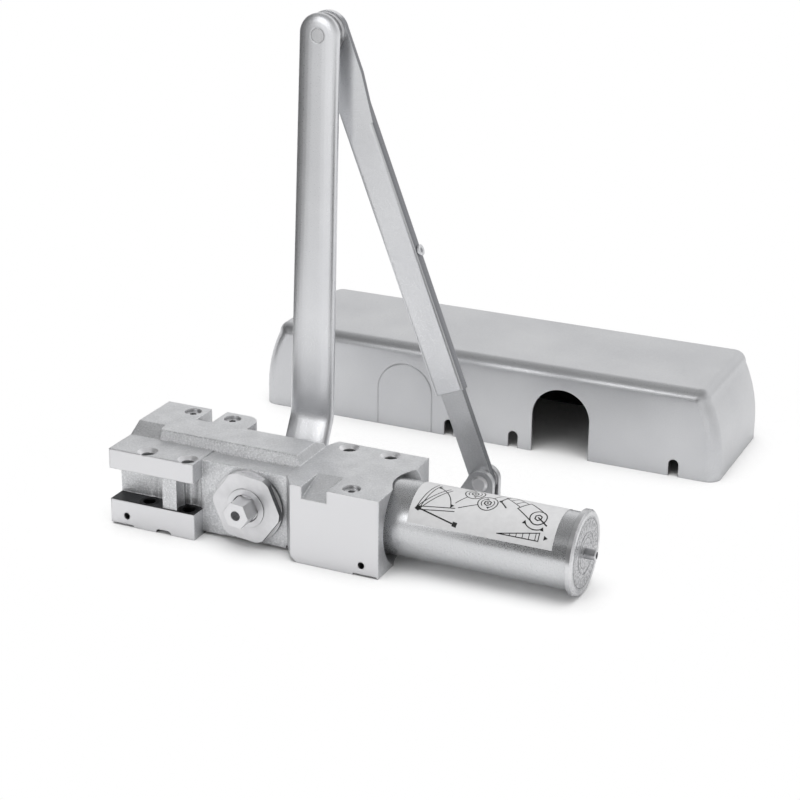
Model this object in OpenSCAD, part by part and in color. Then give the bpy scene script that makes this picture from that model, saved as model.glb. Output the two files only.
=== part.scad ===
// Surface-mounted hydraulic door closer with a regular arm and its loose cover.
// Millimetres. X runs along the body, Y from front to back, Z up from the door face.
// The origin lies on the door face, straight under the pinion axis.

/* [Body casting] */
// Height of the pinion and cylinder axis above the door face
axis_h = 26.8; // [26.6:0.1:27.4]
// Casting length to the left of the pinion axis
left_reach = 95; // [93:1:105]
// Casting length to the right of the pinion axis
right_reach = 94; // [92:1:104]
// Half depth of the casting across its mounting feet
half_depth = 37.6; // [37:0.1:40]
// Half depth of the recessed middle, where the glands seat
mid_half = 25.8; // [25.4:0.1:26.6]
// Height of the machined pads that carry the screw heads
pad_top = 52; // [51:0.5:54]
// Height of the raised crown and the valve lugs
crown_top = 58; // [57:0.5:60]
// Relief under the edges of the middle
relief = 2; // [1:0.5:3]
// Half width of the flat that stays on the door under the middle
keel_half = 20; // [16:1:22]
// Right edge of the left foot
foot_right = -34; // [-36:1:-31]
// Underside of the left foot's upper flange
flange_low = 38.7; // [37:0.1:41]
// Top of the left foot's lower flange
flange_high = 17.5; // [15:0.5:19]
// Thickness of the web behind the foot's recess, from the bore
foot_web = 5; // [4:0.5:6]
// Left edge of the right block's front face
block_left = 34; // [31:1:36]

/* [Mounting] */
// Radius of the mounting-screw holes
screw_hole_r = 4.1; // [3.5:0.1:4.5]
// Radius of their countersinks at the pad
sink_r = 6.5; // [5.5:0.1:7]
// Nearer hole of each pair, from the pinion axis
hole_near = 41.3; // [40.5:0.1:43]
// Spacing of the two holes of a pair
hole_pitch = 29; // [27:0.5:30]
// Distance of each pair from the centreline
hole_off = 31; // [30.5:0.1:31.5]
// Radius of the cover-screw holes
cover_screw_r = 2.2; // [1.8:0.1:2.5]
// Depth of the cover-screw holes
cover_screw_deep = 12; // [8:1:14]
// Height of the cover-screw holes
cover_screw_h = 7.2; // [6:0.1:8]
// Left cover screw, from the pinion axis
cover_screw_left = 83.4; // [81:0.1:86]
// Right cover screw, from the pinion axis
cover_screw_right = 82.6; // [81:0.1:86]

/* [Cylinder and pinion] */
// Radius of the cylinder bore
bore_r = 19; // [18:0.1:19.4]
// Length of the screwed plug that closes the left end
plug_len = 16; // [12:1:18]
// Number of pinion teeth
teeth = 12; // [11:1:13]
// Tooth module
tooth_module = 1.5; // [1.4:0.05:1.55]
// Length of the toothed part, along the pinion
tooth_len = 24; // [18:1:26]
// Pinion journal radius
journal_r = 8.75; // [8.5:0.05:9]
// Distance across the flats of the pinion ends
stub_flats = 15.5; // [15:0.1:16]
// Largest angle that the arm opens
swing = 150; // [120:5:160]
// Clearance between the plug and the piston when the closer is shut
piston_play = 6.2; // [3:0.1:8]
// Length of the piston's right head
piston_tail = 24; // [18:1:26]

/* [Glands] */
// Radius of the gland flange
gland_r = 23.5; // [22.5:0.1:24.5]
// Thickness of the round flange
gland_flange = 2; // [1.5:0.1:2.5]
// Thickness of the hexagon above it
gland_hex = 4; // [3:0.1:4.5]
// Distance across the flats of the gland hexagon
gland_flats = 43; // [41:0.5:44]
// Height of the seal boss above the hexagon
gland_boss = 0.8; // [0.4:0.1:1]
// Radius of the seal boss
gland_boss_r = 13; // [12.8:0.1:14]
// Radius of the gland's screwed spigot
gland_thread_r = 17; // [16:0.1:17.5]
// Angle of the first flat, as the gland is tightened
gland_turn = 23.5; // [0:0.5:59.5]
// Radius of the bearing and seal pocket
pocket_r = 12; // [11.5:0.1:12.4]

/* [Spring tube] */
// Outer radius of the spring tube
tube_r = 24; // [23.4:0.1:24.4]
// Wall of the spring tube
tube_wall = 2.5; // [2:0.1:3]
// Right end of the spring tube, from the pinion axis
tube_end = 208.5; // [200:0.5:220]
// Length of tube inside the casting
tube_grip = 26; // [22:1:27]
// Radius of the end cap flange
cap_r = 26.5; // [25:0.1:26.6]
// Thickness of the end cap flange
cap_flange = 4; // [3.5:0.1:5]
// Length of the cap's spigot inside the tube
cap_spigot = 10; // [8:1:12]
// Radius of the dial disc in the cap
dial_r = 22.7; // [20:0.1:23.5]
// Thickness of the dial disc
dial_t = 2; // [1.5:0.1:2.5]
// Radius of the adjusting stub
adjust_stub_r = 3.3; // [3:0.1:4]
// Length of the adjusting stub past the dial
adjust_stub = 7; // [5:0.5:9]
// Turns of spring adjustment
adjust_turns = 6; // [4:1:8]
// Pitch of the adjusting thread
adjust_pitch = 1.75; // [1.25:0.25:2]
// Wire radius of the power spring
wire_r = 2.6; // [2.2:0.1:2.8]
// Mean radius of the power spring
coil_r = 15.4; // [15:0.1:16]
// Turns of the power spring
coil_turns = 17; // [14:1:18]
// Left edge of the tube label
label_left = 106; // [100:1:115]
// Right edge of the tube label
label_right = 199.5; // [190:0.5:200]

/* [Valves] */
// Radius of the valve counterbores
socket_r = 5.6; // [5:0.1:6]
// Radius of the valve stems
valve_stem_r = 3.4; // [3:0.1:3.8]
// Distance across the flats of the valve sockets
valve_flats = 4; // [3:0.5:5]
// Depth of the valve heads below the casting's top
valve_sink = 1.6; // [1.2:0.1:2]
// Distance of the two left valves from the centreline
valve_left_y = 28.2; // [27:0.1:29]
// Distance of the right valve from the centreline
valve_right_y = 27.6; // [27.4:0.1:29]

/* [Main arm] */
// Distance from the pinion axis to the elbow axis
arm_len = 281.1; // [260:0.1:290]
// Lean of the main arm to the right when the closer is shut
arm_lean = 1.4; // [0:0.01:3]
// Front face of the arm's hub, from the centreline
hub_front = 34.6; // [33.4:0.1:37]
// Length of the hub boss
hub_len = 8; // [7:0.1:9]
// Radius of the hub boss
hub_r = 14.5; // [13:0.1:15]
// Thickness of the arm's flat bar
arm_t = 5.2; // [4.5:0.1:6.5]
// Outward step of the bar between hub and blade
arm_step = 12.5; // [12:0.1:14]
// Half width of the bar at the hub
arm_half_low = 15.6; // [15:0.1:16.5]
// Half width of the bar at the elbow
arm_half_top = 13.4; // [12.4:0.1:14.5]
// Height of the lower bend above the pinion axis
bend_low = 4; // [3:0.1:6]
// Height of the upper bend above the pinion axis
bend_high = 30.8; // [28:0.1:33]

/* [Forearm] */
// Angle of the forearm from straight down
forearm_angle = 21.49; // [15:0.01:30]
// Radius of the elbow rivet
rivet_r = 4.3; // [4:0.1:5]
// Radius of the bushing between the two arms
bushing_r = 13; // [11:0.1:13.4]
// Length of that bushing
bushing_len = 8.5; // [7:0.1:10]
// Thickness of the folded flat at the elbow
flat_t = 3.6; // [3:0.1:4]
// Distance from the elbow to the start of the sleeve
sleeve_start = 49; // [40:1:55]
// Distance from the elbow to the sleeve's mouth
sleeve_end = 239; // [225:1:243]
// Left edge of the sleeve, from the line between elbow and shoe pin
sleeve_left = 11.6; // [10:0.1:12.4]
// Right edge of the sleeve, from that line
sleeve_right = 9.7; // [9.6:0.1:12]
// Thickness of the folded sheet
sheet_t = 1.5; // [1.2:0.1:1.8]
// Width of the adjusting rod
rod_w = 15.4; // [12:0.1:15.6]
// Thickness of the adjusting rod
rod_t = 5.1; // [4:0.1:6]
// Upper end of the rod, from the elbow
rod_top = 98; // [95:1:105]
// Distance from the elbow to the clamp screw
clamp_at = 146; // [143:1:150]

/* [Shoe] */
// Height of the shoe pin above the door face
pin_h = 27.5; // [25:0.1:32]
// Radius of the shoe pin
pin_r = 4; // [3:0.1:4.5]
// Thickness of the shoe's ears and base
shoe_t = 4; // [3:0.1:5]
// Radius of the ears round the pin
ear_r = 9; // [8:0.1:10]
// Width of the shoe's base from front to back
shoe_depth = 23; // [22.5:0.1:28]
// Half length of the shoe's base
shoe_half = 40; // [38:1:44]
// Distance of its screw holes from the middle
shoe_hole = 32; // [30:1:34]
// Thickness of the washer beside the rod's eye
shoe_washer = 1.15; // [0.8:0.05:1.5]

/* [Cover] */
// Length of the cover
cover_len = 347.7; // [344:0.1:360]
// Depth of the cover from front to back
cover_depth = 102; // [98:0.5:106]
// Height of the cover
cover_h = 64; // [62:0.5:68]
// Wall of the cover
cover_wall = 2; // [1.5:0.1:2.5]
// Radius of its long top edges
cover_edge = 8; // [6:0.1:9]
// Radius of the cover's bowed ends
cover_bow = 98; // [90:1:120]
// Height at which the bowed ends start
cover_skirt = 13; // [10:0.5:16]
// Radius of the upright corners
cover_corner = 8; // [6:0.5:10]
// Middle of the standing cover along the body
cover_mid = 64.9; // [60:0.1:70]
// Front of the standing cover, from the body's centreline
cover_front = 196.2; // [120:0.1:220]
// Distance of the arm arch from the cover's middle
arch_off = 59.5; // [57:0.1:61]
// Width of the arm arch
arch_w = 42.3; // [38:0.1:44]
// Top of the arm arch
arch_h = 48.9; // [46:0.1:50]
// Inner cover-screw notches, from the cover's middle
notch_in = 24.6; // [24:0.1:25]
// Outer cover-screw notches, from the cover's middle
notch_out = 142.4; // [141.5:0.1:143.5]
// Width of the cover-screw notches
notch_w = 7.2; // [6:0.1:8]
// Top of the cover-screw notches
notch_h = 12.3; // [11:0.1:14]

/* [Fits] */
// Radial clearance of a turning or sliding fit
run = 0.05; // [0.03:0.01:0.08]
// Clearance between flat faces of moving pieces
face_gap = 0.1; // [0.05:0.01:0.15]
// Backlash between the pinion and the rack
backlash = 0.16; // [0.12:0.01:0.2]

/* [Hidden] */
$fn = 96;
eps = 0.01;

steel = "silver";
cast_metal = "lightgray";
bright = "gainsboro";
dark_steel = "dimgray";
rubber = "black";
bronze = "goldenrod";

// Rack and pinion: 25 degree teeth with a short addendum, so none is undercut
pressure = 25;
pitch_r = teeth * tooth_module / 2;
tip_r = pitch_r + 0.8 * tooth_module;
root_r = pitch_r - tooth_module;
base_r = pitch_r * cos(pressure);
rack_pitch = PI * tooth_module;
travel = pitch_r * swing * PI / 180;

// Piston: its window clears the pinion over the whole travel
window_play = 1;
window_left = -(travel + tip_r + window_play);
window_right = tip_r + window_play;
piston_left = -left_reach + plug_len + piston_play;
piston_right = window_right + piston_tail;
piston_r = bore_r - run;
rack_floor = pitch_r + tooth_module;
window_top = tip_r + 0.8;
ring_left = piston_left + 6;
ring_w = 3;
check_r = 4;
check_deep = 18;
nose = 8;
tooth_gap = 0.3;

// Casting heights and planes
mid_top = pad_top - 1;
foot_face = bore_r + foot_web;
slope_front = -11;
crown_front = -8;
crown_rear = 16.4;
rear_drop = 9;
crown_mid = crown_top - rear_drop * (mid_half - crown_rear) / (half_depth - crown_rear);
hump_end = block_left - 10;
block_slope = block_left - 8;
rear_block_left = block_left - 3;
lug1_right = 32.5 - left_reach;
lug2_left = -51;
lug2_right = -25;
lug_corner = 10;
rib_right = -hole_near - 5.9;

// Valves: places along the body, and levels below the casting's top
closing_x = 23.6 - left_reach;
latching_x = -42;
backcheck_x = right_reach - 22.8;
valve_head = 6.5;
valve_len = 22;
seal_w = 2;
seal_depth = 0.9;

// Pinion line, each value measured from the centreline outwards
gland_face = mid_half + gland_flange;
gland_top = gland_face + gland_hex;
boss_top = gland_top + gland_boss;
spigot_end = bore_r + 0.7;
lip_t = 2;
shaft_seal_t = 3;
pocket_top = boss_top - lip_t;
bearing_top = pocket_top - shaft_seal_t;
gasket_t = 1.7;
gasket_r = gland_thread_r + 1.5;
stub_round_r = journal_r + 0.15;
stub_end = hub_front + hub_len + 2.5;

// Tube line
seal_len = 2;
shoulder = right_reach - tube_grip - seal_len;
tube_start = right_reach - tube_grip;
tube_bore = tube_r - tube_wall;
cap_gap = 0.5;
cap_face = tube_end + cap_gap;
cap_end = cap_face + cap_flange;
dish_r = tube_r + 6.5;
dish_deep = 6;
washer_t = 2;
thrust_x = tube_end - cap_spigot;
screw_collar_x = thrust_x - washer_t;
screw_collar = 4;
screw_collar_r = 10;
thread_r = 6;
screw_journal_r = 5;
seat_travel = adjust_turns * adjust_pitch;
seat_t = 12;
seat_guide = 6;
seat_right = screw_collar_x - screw_collar - 4;
seat_left = seat_right - seat_t;
spring_left = piston_right + wire_r + 0.3;
spring_right = seat_left - wire_r - 0.3;

// Arm line
elbow_x = arm_len * sin(arm_lean);
elbow_z = axis_h + arm_len * cos(arm_lean);
hub_rear = hub_front + hub_len;
blade_front = hub_rear + arm_step;
blade_rear = blade_front + arm_t;
arm_screw_r = 3;
arm_washer_t = 1.2;
washer_r = 7;
forearm_front = blade_rear + bushing_len;
rod_front = forearm_front + sheet_t + run;
rod_rear = rod_front + rod_t;
sleeve_rear = rod_rear + run + sheet_t;
pin_z = pin_h;
rod_reach = (elbow_z - pin_h) / cos(forearm_angle);
pin_x = elbow_x + rod_reach * sin(forearm_angle);
ear_front = rod_front - face_gap - 0.05 - shoe_t;
ear_rear = rod_rear + face_gap + shoe_washer;
shoe_front = ear_front - 3.4;

function arc(centre, r, from, to, n) =
    [for (i = [0:n]) centre + r * [cos(from + (to - from) * i / n), sin(from + (to - from) * i / n)]];

// A 2D shape in X and Z, run along Y
module along_y(from, to) {
    translate([0, to, 0]) rotate([90, 0, 0]) linear_extrude(to - from) children();
}

// A 2D shape in Y and Z, run along X
module along_x(from, to) {
    translate([from, 0, 0]) rotate([90, 0, 90]) linear_extrude(to - from) children();
}

// A box between pairs of limits
module span(x, y, z) {
    translate([x[0], y[0], z[0]]) cube([x[1] - x[0], y[1] - y[0], z[1] - z[0]]);
}

// A round bar along X on the cylinder axis
module bar_x(from, to, r, r_end = 0) {
    translate([from, 0, axis_h]) rotate([0, 90, 0])
        cylinder(h = to - from, r1 = r, r2 = r_end > 0 ? r_end : r);
}

// A round bar along Y on the pinion axis
module bar_y(from, to, r) {
    translate([0, from, axis_h]) rotate([-90, 0, 0]) cylinder(h = to - from, r = r);
}

// A hexagon whose corners are turned down to a circle
module turned_hex(flats, corner_r) {
    intersection() {
        circle(r = corner_r);
        rotate(gland_turn - 30) circle(r = flats / 2 / cos(30), $fn = 6);
    }
}

// The body casting

module crown_section(foot, top, front) {
    polygon([[-front, relief], [-front, mid_top], [foot, mid_top], [foot, pad_top],
             [top, crown_top], [crown_rear, crown_top], [mid_half, crown_mid],
             [mid_half, relief]]);
}

// The hump over the cylinder, with its steep right end
module crown() {
    gentle_left = -72;
    intersection() {
        union() {
            along_x(gentle_left, block_left) crown_section(slope_front, crown_front, foot_face);
            along_x(-left_reach, gentle_left + eps) crown_section(slope_front, 0, foot_face);
        }
        along_y(-half_depth, half_depth)
            polygon([[-left_reach, 0], [block_left, 0], [block_left, pad_top],
                     [hump_end + 3, pad_top], [hump_end, crown_top], [-left_reach, crown_top]]);
    }
    // The short diagonal step where the slope changes
    intersection() {
        along_x(gentle_left - 4, gentle_left + eps)
            crown_section(slope_front, crown_front, foot_face);
        linear_extrude(crown_top)
            polygon([[gentle_left - 4, 0], [gentle_left + 1, -foot_face],
                     [gentle_left + 1, crown_rear], [gentle_left - 4, crown_rear]]);
    }
}

module left_foot() {
    back = slope_front + 1;
    span([-left_reach, foot_right], [-half_depth, back], [flange_low, pad_top]);
    span([-left_reach, foot_right], [-half_depth, back], [0, flange_high]);
    // Rib between the two flanges
    span([rib_right - 10.2, rib_right], [1.5 - half_depth, back], [flange_high - 1, flange_low + 1]);
}

module middle() {
    span([foot_right - 1, block_left + 1], [-mid_half, slope_front + 1], [relief, mid_top]);
    span([foot_right - 1, block_left + 1], [0, mid_half], [relief, mid_top]);
    span([-left_reach, right_reach], [-keel_half, keel_half], [0, relief + 3]);
}

module right_block() {
    linear_extrude(pad_top)
        polygon([[block_left, -half_depth], [right_reach, -half_depth],
                 [right_reach, half_depth], [rear_block_left, half_depth],
                 [rear_block_left - 5, mid_half], [rear_block_left - 5, 0],
                 [block_slope, 0], [block_slope, -mid_half]]);
}

module valve_lugs() {
    span([-left_reach, lug1_right], [crown_rear - 4, half_depth], [0, crown_top]);
    linear_extrude(crown_top) difference() {
        translate([lug2_left, crown_rear - 4])
            square([lug2_right - lug2_left, half_depth - crown_rear + 4]);
        translate([lug2_right - lug_corner, half_depth - lug_corner]) difference() {
            square(lug_corner + 1);
            circle(r = lug_corner);
        }
    }
}

module mounting_hole(x, y, through_flanges) {
    translate([x, y, -1]) cylinder(h = crown_top + 2, r = screw_hole_r);
    translate([x, y, pad_top - (sink_r - screw_hole_r)])
        cylinder(h = sink_r - screw_hole_r + eps, r1 = screw_hole_r, r2 = sink_r + eps);
    // The casting's wall is scalloped beside the screw
    if (through_flanges)
        translate([x, y, flange_high - eps])
            cylinder(h = flange_low - flange_high + 2 * eps, r = screw_hole_r + 3.4);
}

module valve_bore(x, y, top) {
    head_low = top - valve_sink - valve_head;
    translate([x, y, head_low - face_gap]) cylinder(h = top, r = socket_r);
    translate([x, y, head_low - valve_len + 3]) cylinder(h = valve_len, r = valve_stem_r + run);
    translate([x, y, head_low - valve_len]) cylinder(h = valve_len, r = 1.5);
    // Drilled passage from the valve to the cylinder
    translate([x, y > 0 ? y - 14 : y, head_low - valve_len + 1.5]) rotate([-90, 0, 0])
        cylinder(h = 14, r = 1.2);
}

module body_casting() {
    color(cast_metal) difference() {
        union() {
            crown();
            left_foot();
            middle();
            right_block();
            valve_lugs();
        }
        // Cylinder, plug thread, tube seat and the dish round the tube
        bar_x(-left_reach - 1, shoulder + 1, bore_r);
        bar_x(-left_reach - 1, -left_reach + plug_len + face_gap, bore_r + 1.5);
        bar_x(shoulder, right_reach + 1, tube_r + run);
        bar_x(right_reach - dish_deep, right_reach + eps, dish_r - dish_deep, dish_r);
        // Pinion line
        bar_y(-mid_half - 1, mid_half + 1, gland_thread_r + run);
        for (side = [-1, 1])
            bar_y(side < 0 ? -mid_half - eps : mid_half - gasket_t,
                  side < 0 ? -mid_half + gasket_t : mid_half + eps, gasket_r + run);
        // Mounting holes
        for (x = [hole_near, hole_near + hole_pitch]) {
            mounting_hole(-x, -hole_off, true);
            mounting_hole(x, hole_off, false);
        }
        // Valves
        valve_bore(closing_x, valve_left_y, crown_top);
        valve_bore(latching_x, valve_left_y, crown_top);
        valve_bore(backcheck_x, -valve_right_y, pad_top);
        // Cover screws, front and rear
        for (x = [-cover_screw_left, cover_screw_right], side = [-1, 1])
            translate([x, side * (half_depth + 1), cover_screw_h]) rotate([side * 90, 0, 0])
                cylinder(h = cover_screw_deep + 1, r = cover_screw_r);
        // Ramped groove in the top of the block
        along_x(42, 59)
            polygon([[-half_depth - 1, pad_top - 8.6], [-half_depth + 23.6, pad_top + eps],
                     [-half_depth - 1, pad_top + eps]]);
        // Slanted lower corner of the block
        along_y(-half_depth - 1, -keel_half)
            polygon([[block_slope - 1, -1], [block_left + 4, -1], [block_left + 4, 0],
                     [block_left, 4], [block_slope - 1, 4]]);
        // Relief under the edges of the feet
        relief_deep = 6;
        span([-left_reach - 1, 16.5 - left_reach], [-half_depth - 1, relief_deep - half_depth], [-1, 1.3]);
        span([right_reach - 17, right_reach - 1], [-half_depth - 1, relief_deep - half_depth], [-1, 1.2]);
        along_y(-half_depth - 1, relief_deep - half_depth)
            polygon(concat([[-62, -1]], arc([-60, 0.5], 2, 180, 90, 5),
                           arc([-53.7, -0.5], 3, 90, 0, 5), [[-50.7, -1]]));
    }
}

// Cylinder end and seals

module end_plug() {
    color(dark_steel) difference() {
        bar_x(-left_reach, -left_reach + plug_len, bore_r + 1.45);
        // Two holes for a pin spanner, and the groove of the seal
        for (y = [-11, 11])
            translate([-left_reach - 1, y, axis_h]) rotate([0, 90, 0]) cylinder(h = 6, r = 1.9);
        difference() {
            bar_x(-left_reach + plug_len - 5, -left_reach + plug_len - 2, bore_r + 2);
            bar_x(-left_reach + plug_len - 6, -left_reach + plug_len - 1, bore_r - 0.5);
        }
    }
}

module end_plug_seal() {
    color(rubber) difference() {
        bar_x(-left_reach + plug_len - 4.95, -left_reach + plug_len - 2.05, bore_r + 1.45);
        bar_x(-left_reach + plug_len - 6, -left_reach + plug_len - 1, bore_r - 0.45);
    }
}

// Glands, modelled on the front side and mirrored to the rear

module gland() {
    along_y(-gland_top, -gland_face)
        translate([0, axis_h]) turned_hex(gland_flats, gland_r);
}

module gland_side() {
    color(bright) difference() {
        union() {
            gland();
            bar_y(-boss_top, -gland_top, gland_boss_r);
            bar_y(-gland_face, -mid_half, gland_r);
            bar_y(-mid_half, -spigot_end, gland_thread_r);
        }
        bar_y(-boss_top - 1, -spigot_end + 1, journal_r + 0.45);
        bar_y(-pocket_top, -spigot_end + 1, pocket_r + 0.5);
    }
}

module front_gland() { gland_side(); }
module rear_gland() { mirror([0, 1, 0]) gland_side(); }

module gland_seal_side() {
    color(rubber) difference() {
        bar_y(-mid_half + face_gap / 2, -mid_half + gasket_t - face_gap / 2, gasket_r);
        bar_y(-mid_half, -mid_half + gasket_t, gland_thread_r + run);
    }
}

module front_gland_seal() { gland_seal_side(); }
module rear_gland_seal() { mirror([0, 1, 0]) gland_seal_side(); }

module bearing_side() {
    color(bronze) difference() {
        bar_y(-bearing_top, -spigot_end - 0.1, pocket_r + 0.5 - run);
        bar_y(-boss_top, 0, journal_r + run);
    }
}

module front_bearing() { bearing_side(); }
module rear_bearing() { mirror([0, 1, 0]) bearing_side(); }

module shaft_seal_side() {
    color(rubber) difference() {
        bar_y(-pocket_top + run, -bearing_top - run, pocket_r + 0.5 - run);
        bar_y(-boss_top, 0, journal_r + run);
    }
}

module front_shaft_seal() { shaft_seal_side(); }
module rear_shaft_seal() { mirror([0, 1, 0]) shaft_seal_side(); }

// Pinion shaft with its teeth and two turned hexagon ends

function involute(a) = tan(a) - a * PI / 180;
function tooth_half(r) =
    (rack_pitch / 2 - backlash) / 2 / pitch_r * 180 / PI
    + (involute(pressure) - involute(acos(min(1, base_r / r)))) * 180 / PI;

// One flank as radius and half angle, from the root to the tip
flank = concat([[root_r, tooth_half(base_r)]],
               [for (i = [0:5]) let (r = base_r + (tip_r - base_r) * i / 5) [r, tooth_half(r)]]);

module pinion_teeth() {
    polygon([for (k = [0:teeth - 1])
        let (mid = -90 + (k + 0.5) * 360 / teeth)
        each concat(
            [for (p = flank) p[0] * [cos(mid - p[1]), sin(mid - p[1])]],
            [for (i = [len(flank) - 1:-1:0]) let (p = flank[i])
                p[0] * [cos(mid + p[1]), sin(mid + p[1])]])]);
}

module pinion_shaft() {
    color(steel) difference() {
        union() {
            along_y(-tooth_len / 2, tooth_len / 2) translate([0, axis_h]) pinion_teeth();
            bar_y(tooth_len / 2, gland_top, journal_r);
            bar_y(-gland_top, -tooth_len / 2, journal_r);
            along_y(gland_top, stub_end) translate([0, axis_h]) turned_hex(stub_flats, stub_round_r);
            along_y(-stub_end, -gland_top)
                translate([0, axis_h]) turned_hex(stub_flats, stub_round_r);
        }
        bar_y(-stub_end - 1, -stub_end + 12, 3.2);
        bar_y(stub_end - 16, stub_end + 1, arm_screw_r + run);
    }
}

// Piston with its rack, ring and check valve

module rack_piston() {
    half = (rack_pitch / 2 - backlash) / 2;
    short = 0.8 * tooth_module;
    color(steel) difference() {
        union() {
            difference() {
                union() {
                    bar_x(piston_left, piston_right, piston_r);
                    bar_x(piston_right, piston_right + nose, coil_r - wire_r - 1);
                }
                span([window_left, window_right], [-bore_r, bore_r],
                     [axis_h - rack_floor, axis_h + window_top]);
            }
            // The rack on the lower side of the window
            intersection() {
                along_y(-tooth_len / 2 + tooth_gap, tooth_len / 2 - tooth_gap)
                    for (k = [-ceil(travel / rack_pitch) - 1:1])
                        translate([k * rack_pitch, axis_h - pitch_r])
                            polygon([[-half - tooth_module * 1.01 * tan(pressure), -tooth_module * 1.01],
                                     [half + tooth_module * 1.01 * tan(pressure), -tooth_module * 1.01],
                                     [half - short * tan(pressure), short],
                                     [-half + short * tan(pressure), short]]);
                span([window_left - 1, window_right + 1], [-bore_r, bore_r], [0, axis_h]);
            }
        }
        // Ring groove
        difference() {
            bar_x(ring_left, ring_left + ring_w, bore_r + 1);
            bar_x(ring_left - 1, ring_left + ring_w + 1, piston_r - 2.5);
        }
        // Check valve chamber and its outlet
        bar_x(piston_left - 1, piston_left + check_deep, check_r + run);
        bar_x(piston_left, window_left + 1, 2);
        // Relief bore in the right head
        bar_x(window_right - 1, piston_right + nose + 1, 3);
    }
}

module piston_ring() {
    color(dark_steel) difference() {
        bar_x(ring_left + run, ring_left + ring_w - run, bore_r - 0.02);
        bar_x(ring_left - 1, ring_left + ring_w + 1, piston_r - 2.45);
    }
}

module check_valve_seat() {
    color(bronze) difference() {
        bar_x(piston_left, piston_left + 6, check_r);
        bar_x(piston_left - 1, piston_left + 7, 1.8);
    }
}

module check_valve_ball() {
    ball_r = 3.2;
    color(steel) translate([piston_left + 6 + sqrt(ball_r * ball_r - 1.8 * 1.8) + 0.03, 0, axis_h])
        sphere(r = ball_r);
}

// Spring tube and the pieces in it

module spring_tube() {
    color(steel) difference() {
        bar_x(tube_start, tube_end, tube_r);
        bar_x(tube_start - 1, tube_end + 1, tube_bore);
    }
}

module tube_seal() {
    color(rubber) difference() {
        bar_x(shoulder + 0.05, tube_start - 0.05, tube_r);
        bar_x(shoulder - 1, tube_start + 1, tube_r - 2.4);
    }
}

module tube_end_cap() {
    rim = 1.2;
    color(steel) difference() {
        union() {
            bar_x(cap_face, cap_end - rim, cap_r);
            bar_x(cap_end - rim, cap_end, cap_r, cap_r - rim);
            bar_x(thrust_x, cap_face, tube_bore - run);
        }
        bar_x(thrust_x - 1, cap_end + 1, screw_journal_r + run);
        bar_x(cap_end - dial_t - face_gap, cap_end + 1, dial_r + run);
    }
}

module thrust_washer() {
    color(bronze) difference() {
        bar_x(screw_collar_x + face_gap / 2, thrust_x - run, 13);
        bar_x(screw_collar_x - 1, thrust_x + 1, screw_journal_r + 0.3);
    }
}

module tube_label() {
    color("white") translate([label_left, 0, axis_h]) rotate([0, 90, 0]) rotate([0, 0, 105])
        rotate_extrude(angle = 145)
            translate([tube_r + 0.05, 0]) square([0.15, label_right - label_left]);
}

// The power spring is one unbroken wire, squared off by a dead turn at each end
spring_sides = 8;
spring_steps = 14;
spring_rings = coil_turns * spring_steps;
function coil_x(t) = let (f = t / coil_turns, end = 1 / coil_turns, dead = 2.15 * wire_r)
    t <= 1 ? spring_left + dead * t
    : t >= coil_turns - 1 ? spring_right - dead * (coil_turns - t)
    : spring_left + dead + (spring_right - spring_left - 2 * dead) * (f - end) / (1 - 2 * end);
function coil_ring(i) = let (t = i / spring_steps, a = 360 * t)
    [for (k = [0:spring_sides - 1]) let (b = 360 * k / spring_sides, r = coil_r + wire_r * cos(b))
        [coil_x(t) + wire_r * sin(b), r * sin(a), axis_h + r * cos(a)]];

module power_spring() {
    points = [for (i = [0:spring_rings]) each coil_ring(i)];
    last = spring_rings * spring_sides;
    sides = [for (i = [0:spring_rings - 1], k = [0:spring_sides - 1])
        let (a = i * spring_sides + k, b = i * spring_sides + (k + 1) % spring_sides)
        each [[a, a + spring_sides, b], [b, a + spring_sides, b + spring_sides]]];
    start = [for (k = [1:spring_sides - 2]) [0, k, k + 1]];
    finish = [for (k = [1:spring_sides - 2]) [last, last + k + 1, last + k]];
    color(dark_steel) polyhedron(points, concat(sides, start, finish));
}

module spring_seat() {
    color(steel) difference() {
        union() {
            bar_x(seat_left, seat_right, tube_bore - run);
            bar_x(seat_left - seat_guide, seat_left, coil_r - wire_r - 0.8);
        }
        bar_x(seat_left - seat_guide - 1, seat_right + 1, thread_r + run);
    }
}

module adjusting_screw() {
    color(bright) difference() {
        union() {
            bar_x(seat_left - seat_travel - seat_guide, screw_collar_x - screw_collar, thread_r);
            bar_x(screw_collar_x - screw_collar, screw_collar_x, screw_collar_r);
            bar_x(screw_collar_x, cap_end - dial_t, screw_journal_r);
            bar_x(cap_end - dial_t, cap_end + adjust_stub - 0.5, adjust_stub_r);
            bar_x(cap_end + adjust_stub - 0.5, cap_end + adjust_stub, adjust_stub_r,
                  adjust_stub_r - 0.5);
        }
        translate([cap_end + adjust_stub - 4, 0, axis_h]) rotate([0, 90, 0])
            cylinder(h = 5, r = 2 / cos(30), $fn = 6);
    }
}

module adjuster_dial() {
    ring = 13;
    color(bright) difference() {
        bar_x(cap_end - dial_t, cap_end, dial_r);
        bar_x(cap_end - dial_t - 1, cap_end + 1, adjust_stub_r + run);
        // Shallow turned ring in the face
        difference() {
            bar_x(cap_end - 0.3, cap_end + 1, ring + 0.4);
            bar_x(cap_end - 1, cap_end + 2, ring - 0.4);
        }
    }
}

// Valve screws: a socket head, a sealed stem and a conical tip

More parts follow.
